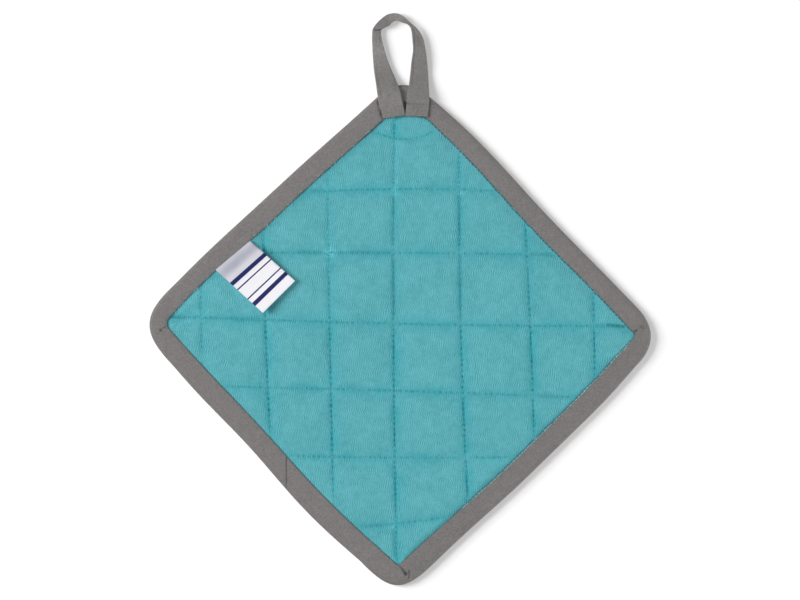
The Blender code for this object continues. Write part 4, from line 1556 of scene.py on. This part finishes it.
def label_satin():
    """White satin ribbon with woven navy bands across it, with painted shade where it bends down at its sewn end."""
    shades = Shades("label_satin", roughness=0.5)
    shades.shader.inputs["Specular IOR Level"].default_value = 0.2
    lattice = shades.from_mesh("lattice", "Vector")
    along, over, _ = shades.parts(lattice)
    bands = shades.most(*(
        shades.ramp(abs(along - place), width / 2 + BAND_SOFTNESS, width / 2 - BAND_SOFTNESS, 0.0, 1.0)
        for place, width in BAND_PLACES
    ))
    # Painted shade where the ribbon bends down at its sewn end, in soft patches.
    bend_shade = shades.patches(lattice, LABEL_PATCHES)
    for ramp in LABEL_BEND_SHADE_RAMPS:
        bend_shade = bend_shade * shades.ramp(along, *ramp, "SMOOTHSTEP")
    satin = shades.mix(bend_shade, LABEL_WHITE, LABEL_BEND_SHADE)
    threads = shades.stripes(along, over, LABEL_PITCH, 0.0)
    shades.colour(shades.mix(bands, satin, LABEL_NAVY), threads * LABEL_WEAVE_SHADE + 1.0)
    shades.bump(threads, LABEL_DEPTH)
    return shades.material


def floor_paint():
    """A pale matt floor."""
    shades = Shades("pale_floor", roughness=0.9)
    place, _ = shades.place()
    shades.colour((FLOOR_WHITE,) * 3, shades.clouds(place, FLOOR_CLOUD_SIZE) * FLOOR_CLOUD_SHADE + 1.0)
    return shades.material


# ---------------------------------------------------------------- the studio


def build_floor():
    """A wide plain floor under the pot holder."""
    corners = [(x * FLOOR_REACH, y * FLOOR_REACH, 0) for x, y in ((-1, -1), (1, -1), (1, 1), (-1, 1))]
    mesh = bpy.data.meshes.new("floor")
    mesh.from_pydata(corners, [], [range(len(corners))])
    mesh.materials.append(floor_paint())
    floor = bpy.data.objects.new("floor", mesh)
    bpy.context.scene.collection.objects.link(floor)
    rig.stage(floor)


def add_light(name, lamp):
    """A square soft light that shines at the pot holder and gives the floor its share of white."""
    turn, rise = math.radians(lamp.azimuth), math.radians(lamp.elevation)
    towards = Vector((math.cos(turn) * math.cos(rise), math.sin(turn) * math.cos(rise), math.sin(rise)))
    data = bpy.data.lights.new(name, "AREA")
    data.size = lamp.size
    data.energy = lamp.share * (math.pi * LAMP_DISTANCE) ** 2 / (FLOOR_WHITE * math.sin(rise))
    data.use_shadow = lamp.casts_shadow
    light = bpy.data.objects.new(name, data)
    light.location = towards * LAMP_DISTANCE
    light.rotation_mode = "QUATERNION"
    light.rotation_quaternion = towards.to_track_quat("Z", "Y")
    bpy.context.scene.collection.objects.link(light)


def build_studio():
    """The soft lights, a pale surrounding, and the camera straight above."""
    for name, lamp in LAMPS.items():
        add_light(name, lamp)
    world = bpy.data.worlds.new("studio")
    world.use_nodes = True
    background = world.node_tree.nodes["Background"]
    background.inputs["Color"].default_value = (1.0, 1.0, 1.0, 1.0)
    background.inputs["Strength"].default_value = SURROUNDING
    bpy.context.scene.world = world
    bpy.context.scene.view_settings.view_transform = "Standard"
    data = bpy.data.cameras.new("camera")
    data.sensor_width = SENSOR
    data.lens = SENSOR * CAMERA_HEIGHT / (PHOTO_WIDTH * PIXEL * MM)
    data.clip_end = CLIP_END
    camera = bpy.data.objects.new("camera", data)
    camera.location = (VIEW_MIDDLE[0] * MM, VIEW_MIDDLE[1] * MM, CAMERA_HEIGHT)
    bpy.context.scene.collection.objects.link(camera)
    bpy.context.scene.camera = camera


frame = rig.load()
cad_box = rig.bounds()
build_studio()
build_floor()

quilt = build_quilt(teal_cloth())
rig.replaces(quilt, "quilted_panel")
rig.padded(quilt, fill=0.45)
quilting = build_quilting(thread("teal_thread", QUILTING_TEAL))
# The ditch thread's dark colour also paints the shade in the ditch.
ditch = build_ditch_thread(thread("ditch_thread", DITCH_THREAD_AND_SHADE))
pale_thread = thread("pale_thread", FIBRE_PALE, twist_shade=0.05)
edge_thread = build_edge_thread(pale_thread)
fibres = build_fibres(pale_thread)
binding = build_binding(grey_cotton("grey_binding", BINDING_GREY, 0.0))
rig.replaces(binding, "edge_binding")
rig.sheet(binding, flat=(BINDING_CLOTH_WIDTH * MM, BINDING_LENGTH * MM), held="folded", rests_on=["quilt_cloth"])
loop = build_loop(grey_cotton("grey_tape", TAPE_GREY, 4.0))
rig.replaces(loop, "hanging_loop")
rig.sheet(loop, flat=(TAPE_WIDTH * MM, LOOP_LENGTH * MM), held="folded", rests_on=["binding_tape"])
label = build_label(label_satin())
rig.replaces(label, "side_label")
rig.sheet(label, flat=(LABEL_WIDTH * MM, 2 * LABEL_LENGTH * MM), held="folded", rests_on=["quilt_cloth"])

for piece, slot in (
    (quilt, "teal_cotton"),
    *((threads, "teal_cotton") for threads in (*quilting, ditch, edge_thread, *fibres)),
    (binding, "grey_binding"),
    (loop, "grey_tape"),
    (label, "label_satin"),
):
    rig.ride(piece, "root")
    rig.slot(piece, slot)

with open(SIZE_FILE, "w") as size_file:
    json.dump({"cad": [list(corner) for corner in cad_box], "visual": [list(c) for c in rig.bounds()]}, size_file)
